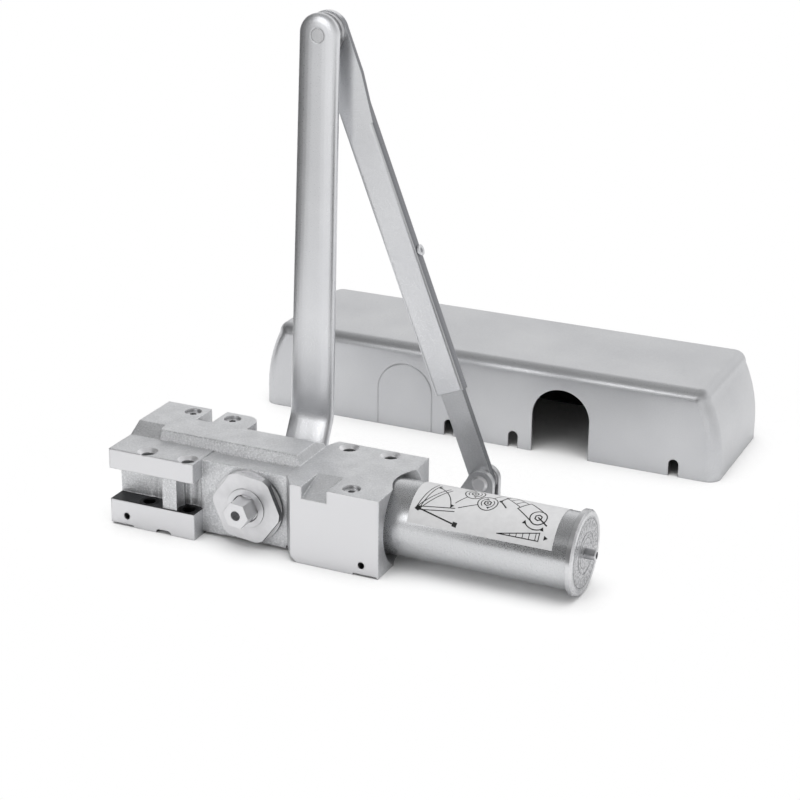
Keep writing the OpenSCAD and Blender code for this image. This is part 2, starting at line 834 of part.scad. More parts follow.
module valve_screw(x, y, top) {
    head_top = top - valve_sink;
    head_low = head_top - valve_head;
    color(dark_steel) translate([x, y, 0]) difference() {
        union() {
            translate([0, 0, head_low]) cylinder(h = valve_head, r = socket_r - 0.1);
            translate([0, 0, head_low - valve_len + 5.5])
                cylinder(h = valve_len - 5.5, r = valve_stem_r);
            translate([0, 0, head_low - valve_len + 3.5])
                cylinder(h = 2, r1 = 1.2, r2 = valve_stem_r);
        }
        translate([0, 0, head_top - 4]) cylinder(h = 5, r = valve_flats / 2 / cos(30), $fn = 6);
        translate([0, 0, head_low - 6]) difference() {
            cylinder(h = seal_w, r = valve_stem_r + 1);
            translate([0, 0, -1]) cylinder(h = seal_w + 2, r = valve_stem_r - seal_depth);
        }
    }
}

module valve_ring(x, y, top) {
    low = top - valve_sink - valve_head - 6;
    color(rubber) translate([x, y, low + run]) difference() {
        cylinder(h = seal_w - 2 * run, r = valve_stem_r);
        translate([0, 0, -1]) cylinder(h = seal_w + 1, r = valve_stem_r - seal_depth + run);
    }
}

module closing_valve() { valve_screw(closing_x, valve_left_y, crown_top); }
module closing_valve_seal() { valve_ring(closing_x, valve_left_y, crown_top); }
module latching_valve() { valve_screw(latching_x, valve_left_y, crown_top); }
module latching_valve_seal() { valve_ring(latching_x, valve_left_y, crown_top); }
module backcheck_valve() { valve_screw(backcheck_x, -valve_right_y, pad_top); }
module backcheck_valve_seal() { valve_ring(backcheck_x, -valve_right_y, pad_top); }

// Main arm: a flat bar, cranked outwards between hub and blade

// Side view of the bar in Y and Z, with both bends rounded
module arm_side() {
    low = axis_h - arm_half_low - 1;
    high = elbow_z + arm_half_top + 1;
    z1 = axis_h + bend_low;
    z2 = axis_h + bend_high;
    tilt = atan(arm_step / (z2 - z1));
    shift = arm_t * tan(tilt / 2);
    polygon([[hub_rear, low], [hub_rear, z1], [blade_front, z2], [blade_front, high],
             [blade_rear, high], [blade_rear, z2 - shift], [hub_rear + arm_t, z1 - shift],
             [hub_rear + arm_t, low]]);
}

module arm_outline() {
    // The straight sides end just inside the round ends, so they cross them cleanly
    tuck = 0.05;
    low = arm_half_low - tuck;
    top = arm_half_top - tuck;
    bend_x = bend_high * sin(arm_lean);
    translate([0, axis_h]) circle(r = arm_half_low);
    translate([elbow_x, elbow_z]) circle(r = arm_half_top);
    polygon([[-low, axis_h - 10 * tuck], [bend_x - low, axis_h + bend_high],
             [elbow_x - top, elbow_z + 10 * tuck], [elbow_x + top, elbow_z + 10 * tuck],
             [bend_x + low, axis_h + bend_high], [low, axis_h - 10 * tuck]]);
}

module main_arm() {
    color(steel) difference() {
        union() {
            intersection() {
                along_x(-arm_half_low - 20, arm_half_low + 20) arm_side();
                along_y(hub_front, blade_rear + 1) arm_outline();
            }
            bar_y(hub_front, hub_rear + 1, hub_r);
        }
        along_y(hub_front - 1, stub_end + run)
            translate([0, axis_h]) turned_hex(stub_flats + 2 * run, stub_round_r + run);
        bar_y(hub_front, blade_rear, arm_screw_r + 0.2);
        // Spot face for the washer, where the crank starts
        bar_y(hub_rear + arm_t, blade_rear + 1, washer_r + 0.6);
        translate([elbow_x, blade_front - 1, elbow_z]) rotate([-90, 0, 0])
            cylinder(h = arm_t + 2, r = rivet_r + run);
    }
}

module arm_washer() {
    back = hub_rear + arm_t;
    color(bright) difference() {
        bar_y(back, back + arm_washer_t, washer_r);
        bar_y(back - 1, back + 5, arm_screw_r + 0.2);
    }
}

module arm_screw() {
    back = hub_rear + arm_t + arm_washer_t;
    head = 3.6;
    color(dark_steel) difference() {
        union() {
            bar_y(stub_end - 14, back, arm_screw_r);
            bar_y(back, back + head, 5.2);
        }
        along_y(back + head - 2.5, back + head + 1) translate([0, axis_h])
            circle(r = 2.5 / cos(30), $fn = 6);
    }
}

module at_elbow(y) { translate([elbow_x, y, elbow_z]) rotate([-90, 0, 0]) children(); }

module elbow_rivet() {
    color(bright) {
        at_elbow(blade_front) cylinder(h = forearm_front + flat_t + face_gap - blade_front, r = rivet_r);
        at_elbow(forearm_front + flat_t + face_gap) cylinder(h = 1.4, r = rivet_r + 2.4);
        at_elbow(forearm_front + flat_t + face_gap + 1.4)
            cylinder(h = 1, r1 = rivet_r + 2.4, r2 = rivet_r + 0.8);
    }
}

module elbow_bushing() {
    color(bright) difference() {
        union() {
            at_elbow(blade_rear) cylinder(h = bushing_len - face_gap, r = bushing_r - 0.6);
            at_elbow(blade_rear + bushing_len / 2 - 1) cylinder(h = 2, r = bushing_r);
        }
        at_elbow(blade_rear - 1) cylinder(h = bushing_len + 2, r = rivet_r + run);
    }
}

// Forearm: its own Z axis runs from the shoe pin up to the elbow

module in_forearm() { translate([elbow_x, 0, elbow_z]) rotate([0, -forearm_angle, 0]) children(); }

fold_r = 2.6;

// Half of the sleeve's section, drawn in X and Y from its middle to its folded edge
module sleeve_edge(half) {
    depth = sleeve_rear - forearm_front;
    lip = 4.2;
    edge = half - fold_r;
    difference() {
        polygon(concat([[0, 0]], arc([edge, fold_r], fold_r, 270, 360, 6),
                       arc([edge, depth - fold_r], fold_r, 0, 90, 6), [[0, depth]]));
        // Hollow for the rod, then the slot between the lips
        translate([-1, sheet_t]) square([half + 1 - sheet_t, depth - 2 * sheet_t]);
        translate([-1, sheet_t]) square([half + 1 - lip, depth]);
    }
}

module forearm_sleeve() {
    start = -sleeve_start;
    color(steel) in_forearm() difference() {
        union() {
            // Folded flat with its round end at the elbow
            along_y(forearm_front, forearm_front + flat_t) {
                circle(r = arm_half_top - 0.1);
                polygon([[0.2 - arm_half_top, 0], [arm_half_top - 0.2, 0],
                         [arm_half_top - 0.2, -30], [sleeve_right, start - 12], [0, start - 12],
                         [-sleeve_left, start], [-sleeve_left, -26]]);
            }
            // The sleeve, whose two edges lie at their own distances from the line
            translate([0, forearm_front, -sleeve_end])
                linear_extrude(sleeve_end - sleeve_start) sleeve_edge(sleeve_right);
            translate([0, forearm_front, -sleeve_end]) mirror([1, 0, 0])
                linear_extrude(sleeve_end - sleeve_start) sleeve_edge(sleeve_left);
        }
        translate([0, forearm_front - 1, 0]) rotate([-90, 0, 0])
            cylinder(h = flat_t + 2, r = rivet_r + run);
        translate([0, (rod_front + rod_rear) / 2, -clamp_at]) rotate([0, 90, 0])
            cylinder(h = 20, r = 2 + run);
    }
}

module clamp_screw() {
    wall = sleeve_right;
    color(dark_steel) in_forearm() translate([0, (rod_front + rod_rear) / 2, -clamp_at])
        rotate([0, 90, 0]) difference() {
            union() {
                translate([0, 0, rod_w / 2 + face_gap]) cylinder(h = wall - rod_w / 2, r = 2);
                translate([0, 0, wall + face_gap]) cylinder(h = 1.4, r = 3.6);
            }
            translate([0, 0, wall + 0.4]) cylinder(h = 4, r = 1.5 / cos(30), $fn = 6);
        }
}

module forearm_rod() {
    eye_r = 8;
    color(steel) in_forearm() difference() {
        union() {
            span([-rod_w / 2, rod_w / 2], [rod_front, rod_rear], [-rod_reach, -rod_top]);
            translate([0, rod_front, -rod_reach]) rotate([-90, 0, 0]) cylinder(h = rod_t, r = eye_r);
        }
        translate([0, rod_front - 1, -rod_reach]) rotate([-90, 0, 0])
            cylinder(h = rod_t + 2, r = pin_r + run);
    }
}

// Shoe that fastens to the door frame, standing on its base

module shoe_ear() {
    height = pin_z;
    translate([pin_x, pin_z]) circle(r = ear_r);
    polygon([[pin_x - ear_r * cos(45), pin_z + ear_r * sin(45)],
             [pin_x - ear_r * cos(45) - height + ear_r * sin(45) + shoe_t / 2, shoe_t / 2],
             [pin_x + ear_r, shoe_t / 2], [pin_x + ear_r, pin_z]]);
}

module shoe_bracket() {
    color(steel) difference() {
        union() {
            linear_extrude(shoe_t) difference() {
                translate([pin_x - shoe_half, shoe_front]) square([2 * shoe_half, shoe_depth]);
                for (side = [-1, 1])
                    translate([pin_x + side * shoe_hole, shoe_front + shoe_depth / 2])
                        circle(r = 3.2);
            }
            along_y(ear_front, ear_front + shoe_t) shoe_ear();
            along_y(ear_rear, ear_rear + shoe_t) shoe_ear();
        }
        translate([pin_x, ear_front - 1, pin_z]) rotate([-90, 0, 0])
            cylinder(h = ear_rear - ear_front + shoe_t + 2, r = pin_r + run);
    }
}

module shoe_pin() {
    head = 1.6;
    color(bright) translate([pin_x, 0, pin_z]) rotate([-90, 0, 0]) {
        translate([0, 0, ear_front]) cylinder(h = ear_rear + shoe_t - ear_front, r = pin_r);
        translate([0, 0, ear_front - head]) cylinder(h = head, r1 = pin_r, r2 = pin_r + 1.6);
        translate([0, 0, ear_rear + shoe_t]) cylinder(h = head, r1 = pin_r + 1.6, r2 = pin_r);
    }
}

module shoe_pin_washer() {
    color(bright) translate([pin_x, rod_rear + face_gap / 2, pin_z]) rotate([-90, 0, 0])
        difference() {
            cylinder(h = shoe_washer, r = 8);
            translate([0, 0, -1]) cylinder(h = shoe_washer + 2, r = pin_r + run);
        }
}

// Cover: three outlines crossed, drawn about its own middle

// Side view with bowed ends; inset moves every edge inwards
module cover_side(inset) {
    half = cover_len / 2 - inset;
    bow = cover_bow - inset;
    rise = asin((cover_h - inset - cover_skirt) / bow);
    polygon(concat([[-half, -1]], arc([bow - half, cover_skirt], bow, 180, 180 - rise, 10),
                   arc([half - bow, cover_skirt], bow, rise, 0, 10), [[half, -1]]));
}

// Cross section with rounded long edges
module cover_section(inset) {
    half = cover_depth / 2 - inset;
    edge = cover_edge - inset;
    low = cover_h - cover_edge;
    polygon(concat([[-half, -1]], arc([edge - half, low], edge, 180, 90, 8),
                   arc([half - edge, low], edge, 90, 0, 8), [[half, -1]]));
}

// Plan with rounded corners
module cover_plan(inset) {
    corner = cover_corner - inset;
    x = cover_len / 2 - cover_corner;
    y = cover_depth / 2 - cover_corner;
    polygon(concat(arc([x, y], corner, 0, 90, 8), arc([-x, y], corner, 90, 180, 8),
                   arc([-x, -y], corner, 180, 270, 8), arc([x, -y], corner, 270, 360, 8)));
}

module cover_block(inset, low) {
    intersection() {
        along_y(-cover_depth, cover_depth) cover_side(inset);
        along_x(-cover_len, cover_len) cover_section(inset);
        translate([0, 0, low]) linear_extrude(cover_h + 5) cover_plan(inset);
    }
}

module arch(w, top) {
    translate([0, top - w / 2]) circle(r = w / 2);
    translate([-w / 2, -1]) square([w, top - w / 2 + 1]);
}

// Centre line of an unbroken knock-out arch, a shallow groove
module arch_score() {
    difference() {
        arch(arch_w, arch_h);
        arch(arch_w - 1.2, arch_h - 0.6);
    }
}

module cover_shell() {
    front = -cover_depth / 2;
    score = 0.5;
    color(steel) translate([cover_mid, cover_front + cover_depth / 2, 0]) difference() {
        cover_block(0, 0);
        cover_block(cover_wall, -1);
        // Open arm arch in the front, and a scored knock-out for the other hand
        along_y(front - 1, front + cover_wall + 1) translate([arch_off, 0]) arch(arch_w, arch_h);
        along_y(front - 1, front + score) translate([-arch_off, 0]) arch_score();
        // Notches that drop over the cover screws
        for (x = [-notch_out, -notch_in, notch_in, notch_out])
            along_y(front - 1, front + cover_wall + 1) translate([x, 0]) arch(notch_w, notch_h);
    }
}

body_casting();
end_plug();
end_plug_seal();
front_gland();
rear_gland();
front_gland_seal();
rear_gland_seal();
front_bearing();
rear_bearing();
front_shaft_seal();
rear_shaft_seal();
spring_tube();
tube_seal();
tube_end_cap();
thrust_washer();
tube_label();
power_spring();
pinion_shaft();
rack_piston();
piston_ring();
check_valve_seat();
check_valve_ball();
adjusting_screw();
adjuster_dial();
spring_seat();
closing_valve();
closing_valve_seal();
latching_valve();
latching_valve_seal();
backcheck_valve();
backcheck_valve_seal();
main_arm();
arm_screw();
arm_washer();
elbow_rivet();
elbow_bushing();
forearm_sleeve();
clamp_screw();
forearm_rod();
shoe_bracket();
shoe_pin();
shoe_pin_washer();
cover_shell();
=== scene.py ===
# %% [markdown]
# # A hydraulic door closer on a white table
# The object is a heavy door closer: a cast body with a spring tube, a two-part arm that
# stands up behind it, and its slip-on cover waiting behind. The solids come from the CAD
# model. This notebook gives them their paint, metal and print, models the parts whose
# form needs more than the solids carry, and sets up the camera and the light.

# %% Load the solids
import math

import bpy
from mathutils import Matrix, Vector


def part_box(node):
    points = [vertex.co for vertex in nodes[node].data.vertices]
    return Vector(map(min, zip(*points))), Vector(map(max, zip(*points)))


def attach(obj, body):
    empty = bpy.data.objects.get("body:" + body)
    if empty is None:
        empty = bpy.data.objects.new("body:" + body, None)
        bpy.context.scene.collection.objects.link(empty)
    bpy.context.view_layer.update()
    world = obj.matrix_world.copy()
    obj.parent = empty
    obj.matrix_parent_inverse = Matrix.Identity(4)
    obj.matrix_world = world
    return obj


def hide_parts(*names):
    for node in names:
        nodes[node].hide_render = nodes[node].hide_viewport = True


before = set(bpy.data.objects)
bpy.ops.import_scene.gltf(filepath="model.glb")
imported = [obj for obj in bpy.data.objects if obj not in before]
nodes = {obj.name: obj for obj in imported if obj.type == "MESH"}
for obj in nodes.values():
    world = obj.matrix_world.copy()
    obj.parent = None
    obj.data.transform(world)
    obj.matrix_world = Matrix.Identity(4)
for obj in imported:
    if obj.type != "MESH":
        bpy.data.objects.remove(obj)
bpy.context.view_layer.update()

# %% [markdown]
# Sizes in a maker's notebook are millimetres, and Blender works in metres. One small
# function turns the one into the other, so every number below can be read off a drawing.
# Three places come back again and again: the height of the axis that the pinion and the
# tube share, the pinion's hub, and the arm's elbow, the last two as x and z.

# %% Millimetres and the main places
AXIS = 26.8
HUB, ELBOW = (0.0, AXIS), (6.868, 307.816)


def mm(*values):
    """Millimetres to metres: one number, or a vector of three."""
    return values[0] / 1000 if len(values) == 1 else Vector(values) / 1000


print("axis at", AXIS, "mm, elbow at", ELBOW, "mm")

# %% [markdown]
# ## Camera
# The photograph was taken with a 90 mm lens from the right, a little above. The camera
# looks along a yaw of 24 degrees and a pitch of 21 degrees, and is rolled by less than one
# degree. Its three axes are written out as the columns of a matrix, which is exact and
# needs no target object.

# %% Camera from three angles
yaw, pitch, roll = 0.4237, 0.3673, 0.0136
look = Vector((-math.sin(yaw) * math.cos(pitch), math.cos(yaw) * math.cos(pitch), -math.sin(pitch)))
level = Vector((math.cos(yaw), math.sin(yaw), 0))
rise = level.cross(look)
right = math.cos(roll) * level + math.sin(roll) * rise
up = math.cos(roll) * rise - math.sin(roll) * level

lens = bpy.data.cameras.new("camera")
lens.lens = 90.08
lens.sensor_width = 36
lens.clip_start = 0.05
camera = bpy.data.objects.new("camera", lens)
bpy.context.scene.collection.objects.link(camera)
eye = mm(62.84, 60.74, 77.97) - look * mm(1283.78)
camera.matrix_world = Matrix((
    (right.x, up.x, -look.x, eye.x),
    (right.y, up.y, -look.y, eye.y),
    (right.z, up.z, -look.z, eye.z),
    (0, 0, 0, 1)))
bpy.context.scene.camera = camera
print("camera stands at", [round(1000 * v) for v in eye], "mm")

# %% [markdown]
# ## Shader helpers
# A material in Blender is a small graph. Two helpers keep the graphs readable: one turns a
# colour as it is written on a paint card into the linear numbers that the shader wants,
# and one adds a node and fills its sockets with a value, an output or another node. Where
# it is given a node, it takes the first output that the node's settings leave in use.
# Sockets without a clear name go by number. In a Map Range node 1 and 2 are the range that
# goes in, and 3 and 4 the range that comes out. In a Mix node 0 is the share, 6 and 7 are
# the two colours, and 2 and 3 the two numbers.

# %% Colour and node helpers
def paint(code):
    """A colour such as 'B4B4B6' as linear red, green, blue and alpha."""
    parts = [int(code[i:i + 2], 16) / 255 for i in (0, 2, 4)]
    return [p / 12.92 if p < 0.04045 else ((p + 0.055) / 1.055) ** 2.4 for p in parts] + [1]


def put(tree, kind, sockets=None, **settings):
    """Adds a shader node; sockets maps an input to a value, an output or another node."""
    node = tree.nodes.new("ShaderNode" + kind)
    for key, value in settings.items():
        setattr(node, key, value)
    for key, value in (sockets or {}).items():
        if isinstance(value, bpy.types.Node):
            value = next(out for out in value.outputs if out.enabled)
        if isinstance(value, bpy.types.NodeSocket):
            tree.links.new(value, node.inputs[key])
        else:
            node.inputs[key].default_value = value
    return node


def new_material(name):
    """An empty material with its node tree and object coordinates."""
    material = bpy.data.materials.new(name)
    material.use_nodes = True
    material.node_tree.nodes.clear()
    return material, material.node_tree, put(material.node_tree, "TexCoord").outputs["Object"]


print("paint B4B4B6 is", [round(part, 3) for part in paint("B4B4B6")])

# %% [markdown]
# ## Sheet-metal silver
# The arms, the shoe, the tube and the cover are sprayed with a satin silver lacquer. Close
# by it is not one grey: metal flakes make a fine sparkle, the spray leaves a soft orange
# peel, and the colour drifts slowly over a hand's breadth. The flakes drive the colour and
# the roughness a little, and the orange peel drives the bump. The Bevel node rounds the
# shading at pressed edges, as real folds are never sharp. On the sleeve and the rod, the
# faces that look to the right get a painted shade, a darker grey. Real flakes are 0.05 mm,
# too fine to show at this distance, so they are drawn 0.6 mm wide.

# %% Silver lacquer
def silver(name, light, dark, rough, peel, edge, metal=0.85, right_shade_tone=None):
    """Satin silver lacquer: two greys, roughness, peel width, edge radius, painted shade tone."""
    material, tree, where = new_material(name)
    cloud = put(tree, "TexNoise", {0: where, "Scale": 1 / mm(60), "Detail": 2})
    flake = put(tree, "TexNoise", {0: where, "Scale": 1 / mm(0.6), "Detail": 2, "Roughness": 0.7})
    orange = put(tree, "TexNoise", {0: where, "Scale": 1 / peel, "Detail": 2})
    drift = put(tree, "MapRange", {0: cloud, 1: 0.3, 2: 0.7})
    tone = put(tree, "Mix", {0: drift, 6: paint(dark), 7: paint(light)}, data_type="RGBA")
    spark = put(tree, "MapRange", {0: flake, 1: 0.35, 2: 0.75, 3: 0, 4: 0.3})
    colour = put(tree, "Mix", {0: spark, 6: tone, 7: paint("F2F2F4")}, data_type="RGBA")
    # Painted shade: faces that look to the right take a darker grey.
    if right_shade_tone:
        facing = put(tree, "SeparateXYZ", {0: put(tree, "NewGeometry").outputs["Normal"]})
        right_facing_shade = put(tree, "MapRange", {0: facing, 1: 0.55, 2: 0.75})
        colour = put(tree, "Mix", {0: right_facing_shade, 6: colour, 7: paint(right_shade_tone)}, data_type="RGBA")
    gloss = put(tree, "MapRange", {0: flake, 1: 0.3, 2: 0.7, 3: rough + 0.06, 4: rough - 0.06})
    soft = put(tree, "Bevel", {"Radius": edge}, samples=6)
    bump = put(tree, "Bump", {"Height": orange, "Distance": mm(0.02), "Strength": 0.35,
                              "Normal": soft})
    shader = put(tree, "BsdfPrincipled", {"Base Color": colour, "Metallic": metal,
                                          "Roughness": gloss, "Normal": bump})
    put(tree, "OutputMaterial", {"Surface": shader})
    return material


arm_silver = silver("arm silver lacquer", "DFE0E2", "D2D3D6", 0.32, mm(1.6), mm(1.2))
# The sleeve and the rod get a painted shade on their right-facing faces.
fold_silver = silver("folded sleeve silver lacquer", "DADBDD", "CDCED1", 0.32, mm(1.6), mm(0.7),
                     right_shade_tone="85868A")
rod_silver = silver("rod silver lacquer", "C4C5C7", "B6B7B9", 0.36, mm(1.6), mm(0.8),
                    right_shade_tone="7A7B7E")
shoe_silver = silver("shoe silver lacquer", "BFC0C2", "B1B2B4", 0.36, mm(1.6), mm(1.0))
cover_silver = silver("cover silver lacquer", "C2C3C5", "B5B6B9", 0.32, mm(2.5), mm(1.5))
tube_silver = silver("tube silver lacquer", "C6C7C9", "BCBDBF", 0.28, mm(2), mm(0.8), 0.92)
print("silver finishes: arm, sleeve, rod, shoe, cover and tube")

# %% [markdown]
# ## Cast silver
# The body is sand-cast iron under the same spray. Sand leaves grains of about 1 mm, faint
# on the flat tops and coarse on the recess and the gland wall, which no tool has touched.
# Tight corners and the holes below the lower flange get a painted shade of near black.
# The front faces were milled, so they are smooth, and the countersinks show bright metal.
# The lower flange's top gets a painted shade, for the shadow under the upper flange. Edges
# get bright specks, partly wear from handling and partly a painted highlight. Where a face
# lies and which way it looks decides what it is, so the masks read both.

# %% Masks on the casting
SCREW_HOLES = [(-70.3, -31), (-41.3, -31), (41.3, 31), (70.3, 31)]
VALVE_HOLES = [(-71.4, 28.2, 58), (-42, 28.2, 58), (71.2, -27.6, 52)]
SINK_R, SOCKET_R = 6.45, 5.75
FRONT_FACE, LOWER_FLANGE = -37.4, 19.5

cast_silver, tree, where = new_material("cast silver")
_, y_at, z_at = put(tree, "SeparateXYZ", {0: where}).outputs
facing = put(tree, "NewGeometry").outputs["Normal"]
to_x, to_y, to_z = put(tree, "SeparateXYZ", {0: facing}).outputs
ahead = put(tree, "MapRange", {0: to_y, 1: -0.8, 2: -0.9})
foremost = put(tree, "MapRange", {0: y_at, 1: mm(FRONT_FACE + 0.1), 2: mm(FRONT_FACE - 0.1)})
milled = put(tree, "Math", {0: ahead, 1: foremost}, operation="MULTIPLY")
rough_face = put(tree, "Math", {0: put(tree, "MapRange", {0: to_y, 1: -0.3, 2: -0.6}), 1: milled},
                 operation="SUBTRACT", use_clamp=True)
# Painted shade: faces that look up and lie below the lower flange's top are darkened.
upward = put(tree, "MapRange", {0: to_z, 1: 0.7, 2: 0.9})
low = put(tree, "MapRange", {0: z_at, 1: mm(LOWER_FLANGE + 0.5), 2: mm(LOWER_FLANGE - 0.5)})
shade = put(tree, "Math", {0: upward, 1: low}, operation="MULTIPLY")
flat = put(tree, "VectorMath", {0: where, 1: (1, 1, 0)}, operation="MULTIPLY")
sink = hole_shade = 0.0
for x, y, radius, top, bottom in ([(x, y, SINK_R, 80, 49.4) for x, y in SCREW_HOLES]
                                  + [(x, y, SOCKET_R, z - 0.08, z - 12) for x, y, z in VALVE_HOLES]):
    off = put(tree, "VectorMath", {0: flat, 1: mm(x, y, 0)}, operation="DISTANCE").outputs["Value"]
    round_it = put(tree, "MapRange", {0: off, 1: mm(radius + 0.12), 2: mm(radius - 0.12)})
    below = put(tree, "MapRange", {0: z_at, 1: mm(top + 0.04), 2: mm(top - 0.04)})
    above = put(tree, "MapRange", {0: z_at, 1: mm(bottom), 2: mm(bottom + 0.2)})
    slab = put(tree, "Math", {0: below, 1: above}, operation="MULTIPLY")
    place = put(tree, "Math", {0: round_it, 1: slab}, operation="MULTIPLY")
    sink = put(tree, "Math", {0: place, 1: sink}, operation="MAXIMUM")
    hole_shade = put(tree, "Math", {0: round_it, 1: hole_shade}, operation="MAXIMUM")
slanted = put(tree, "MapRange", {0: to_z, 1: 0.93, 2: 0.9})
sink = put(tree, "Math", {0: sink, 1: slanted}, operation="MULTIPLY")
# Painted shade: the holes below the lower flange's top are darkened to near black.
hole_shade = put(tree, "Math", {0: hole_shade, 1: low}, operation="MULTIPLY")
# Painted shade: tight corners, found by ambient occlusion, are darkened to near black.
open_sky = put(tree, "AmbientOcclusion", {"Distance": mm(14)}, samples=8).outputs["AO"]
corner_shade = put(tree, "MapRange", {0: open_sky, 1: 0.55, 2: 0.2, 3: 0.0, 4: 0.8})
smooth = put(tree, "Math", {0: milled, 1: sink}, operation="MAXIMUM")

# %% Grain, colour and finish of the casting
sand = put(tree, "TexNoise", {0: where, "Scale": 1 / mm(1.1), "Detail": 4, "Roughness": 0.6})
wave = put(tree, "TexNoise", {0: where, "Scale": 1 / mm(11), "Detail": 2})
coarse = put(tree, "MapRange", {0: rough_face, 3: 0.3, 4: 0.6})
fine = put(tree, "MapRange", {0: smooth, 3: 1.0, 4: 0.04})
strength = put(tree, "Math", {0: coarse, 1: fine}, operation="MULTIPLY")
lumps = put(tree, "Math", {0: sand, 1: wave}, operation="ADD")
depth = put(tree, "Math", {0: lumps, 1: strength}, operation="MULTIPLY")
soft = put(tree, "Bevel", {"Radius": mm(1.5)}, samples=8)
bump = put(tree, "Bump", {"Height": depth, "Distance": mm(0.7), "Strength": 0.8, "Normal": soft})

cloud = put(tree, "MapRange", {0: wave, 1: 0.3, 2: 0.7})
base = put(tree, "Mix", {0: cloud, 6: paint("CBCCCE"), 7: paint("D8D9DB")}, data_type="RGBA")
hollow = put(tree, "MapRange", {0: sand, 1: 0.34, 2: 0.48, 3: 0.4, 4: 0})
hollow = put(tree, "Math", {0: hollow, 1: strength}, operation="MULTIPLY")
grained = put(tree, "Mix", {0: hollow, 6: base, 7: paint("6E6F72")}, data_type="RGBA")
ridge = put(tree, "MapRange", {0: sand, 1: 0.54, 2: 0.66, 3: 0, 4: 0.9})
ridge = put(tree, "Math", {0: ridge, 1: strength}, operation="MULTIPLY")
flecked = put(tree, "Mix", {0: ridge, 6: grained, 7: paint("F8F8FA")}, data_type="RGBA")
# Edge specks: partly wear, partly a painted highlight along the rounded edges.
turned = put(tree, "VectorMath", {0: soft, 1: facing}, operation="DOT_PRODUCT").outputs["Value"]
edge = put(tree, "MapRange", {0: turned, 1: 0.995, 2: 0.9})
glint = put(tree, "MapRange", {0: sand, 1: 0.42, 2: 0.58, 3: 0.15, 4: 1.0})
edge_wear_and_glint = put(tree, "Math", {0: edge, 1: glint}, operation="MULTIPLY")
worn_and_highlit = put(tree, "Mix", {0: edge_wear_and_glint, 6: flecked, 7: paint("F6F6F8")}, data_type="RGBA")
faced = put(tree, "Mix", {0: milled, 6: worn_and_highlit, 7: paint("D6D6D8")}, data_type="RGBA")
drilled = put(tree, "Mix", {0: sink, 6: faced, 7: paint("F0F0F2")}, data_type="RGBA")
# Painted shade: corners, the lower flange's top and the holes below it go near black.
corner_shaded = put(tree, "Mix", {0: corner_shade, 6: drilled, 7: paint("333436")}, data_type="RGBA")
shaded = put(tree, "Mix", {0: shade, 6: corner_shaded, 7: paint("3A3B3D")}, data_type="RGBA")
shaded = put(tree, "Mix", {0: hole_shade, 6: shaded, 7: paint("161617")}, data_type="RGBA")
gloss = put(tree, "MapRange", {0: smooth, 3: 0.42, 4: 0.34})
shader = put(tree, "BsdfPrincipled", {"Base Color": shaded, "Metallic": 0.75, "Roughness": gloss,
                                      "Normal": bump})
put(tree, "OutputMaterial", {"Surface": shader})
print("casting:", len(tree.nodes), "nodes")

# %% [markdown]
# ## Turned and plated steel
# Glands, cap and shaft come off a lathe. Their faces carry fine concentric rings round the
# turning axis, which is X for the tube's parts and Y for the pinion's. The rings come from
# the distance to that axis, through a noise in one dimension, so that no two are alike.

# %% Turned steel
def turned_steel(name, axis, centre, tone, rough, metal=0.9, side=0.0):
    """Plated steel with lathe rings about an axis through centre, in millimetres.

    side is how much painted shade darkens the flats that look to the right.
    """
    material, tree, where = new_material(name)
    keep = [0 if letter == axis else 1 for letter in "XYZ"]
    flat = put(tree, "VectorMath", {0: where, 1: keep}, operation="MULTIPLY")
    middle = mm(*(c * k for c, k in zip(centre, keep)))
    off = put(tree, "VectorMath", {0: flat, 1: middle}, operation="DISTANCE").outputs["Value"]
    ring = put(tree, "TexNoise", {"W": off, "Scale": 1 / mm(0.5), "Detail": 3},
               noise_dimensions="1D")
    cloud = put(tree, "TexNoise", {0: where, "Scale": 1 / mm(9), "Detail": 3})
    drift = put(tree, "MapRange", {0: cloud, 1: 0.3, 2: 0.7})
    colour = put(tree, "Mix", {0: drift, 6: paint(tone), 7: paint("D9D9DB")}, data_type="RGBA")
    # Painted shade: flats that look to the right are darkened by the share side.
    to_x = put(tree, "SeparateXYZ", {0: put(tree, "NewGeometry").outputs["Normal"]}).outputs[0]
    right = put(tree, "MapRange", {0: to_x, 1: 0.4, 2: 0.7, 3: 0.0, 4: side})
    colour = put(tree, "Mix", {0: right, 6: colour, 7: paint("3A3B3D")}, data_type="RGBA")
    gloss = put(tree, "MapRange", {0: ring, 1: 0.3, 2: 0.7, 3: rough - 0.06, 4: rough + 0.08})
    soft = put(tree, "Bevel", {"Radius": mm(0.5)}, samples=6)
    bump = put(tree, "Bump", {"Height": ring, "Distance": mm(0.02), "Strength": 0.5,
                              "Normal": soft})
    shader = put(tree, "BsdfPrincipled", {"Base Color": colour, "Metallic": metal,
                                          "Roughness": gloss, "Normal": bump})
    put(tree, "OutputMaterial", {"Surface": shader})
    return material


hub_centre, elbow_centre = (HUB[0], 0, HUB[1]), (ELBOW[0], 0, ELBOW[1])
# The gland's right-facing flats get a strong painted shade.
gland_steel = turned_steel("gland steel", "Y", hub_centre, "CCCCCE", 0.36, 0.8, side=0.8)
shaft_steel = turned_steel("shaft steel", "Y", hub_centre, "D6D6D8", 0.36, 0.8)
tube_steel = turned_steel("tube end steel", "X", hub_centre, "B4B5B7", 0.28)
elbow_steel = turned_steel("elbow steel", "Y", elbow_centre, "D0D1D3", 0.3)
# The bushing is a dark grey, a painted shade for the gap round the elbow.
bushing_shade_steel = turned_steel("bushing steel", "Y", elbow_centre, "6A6B6E", 0.3)
print("turned steels: gland, shaft, tube end, elbow and bushing")
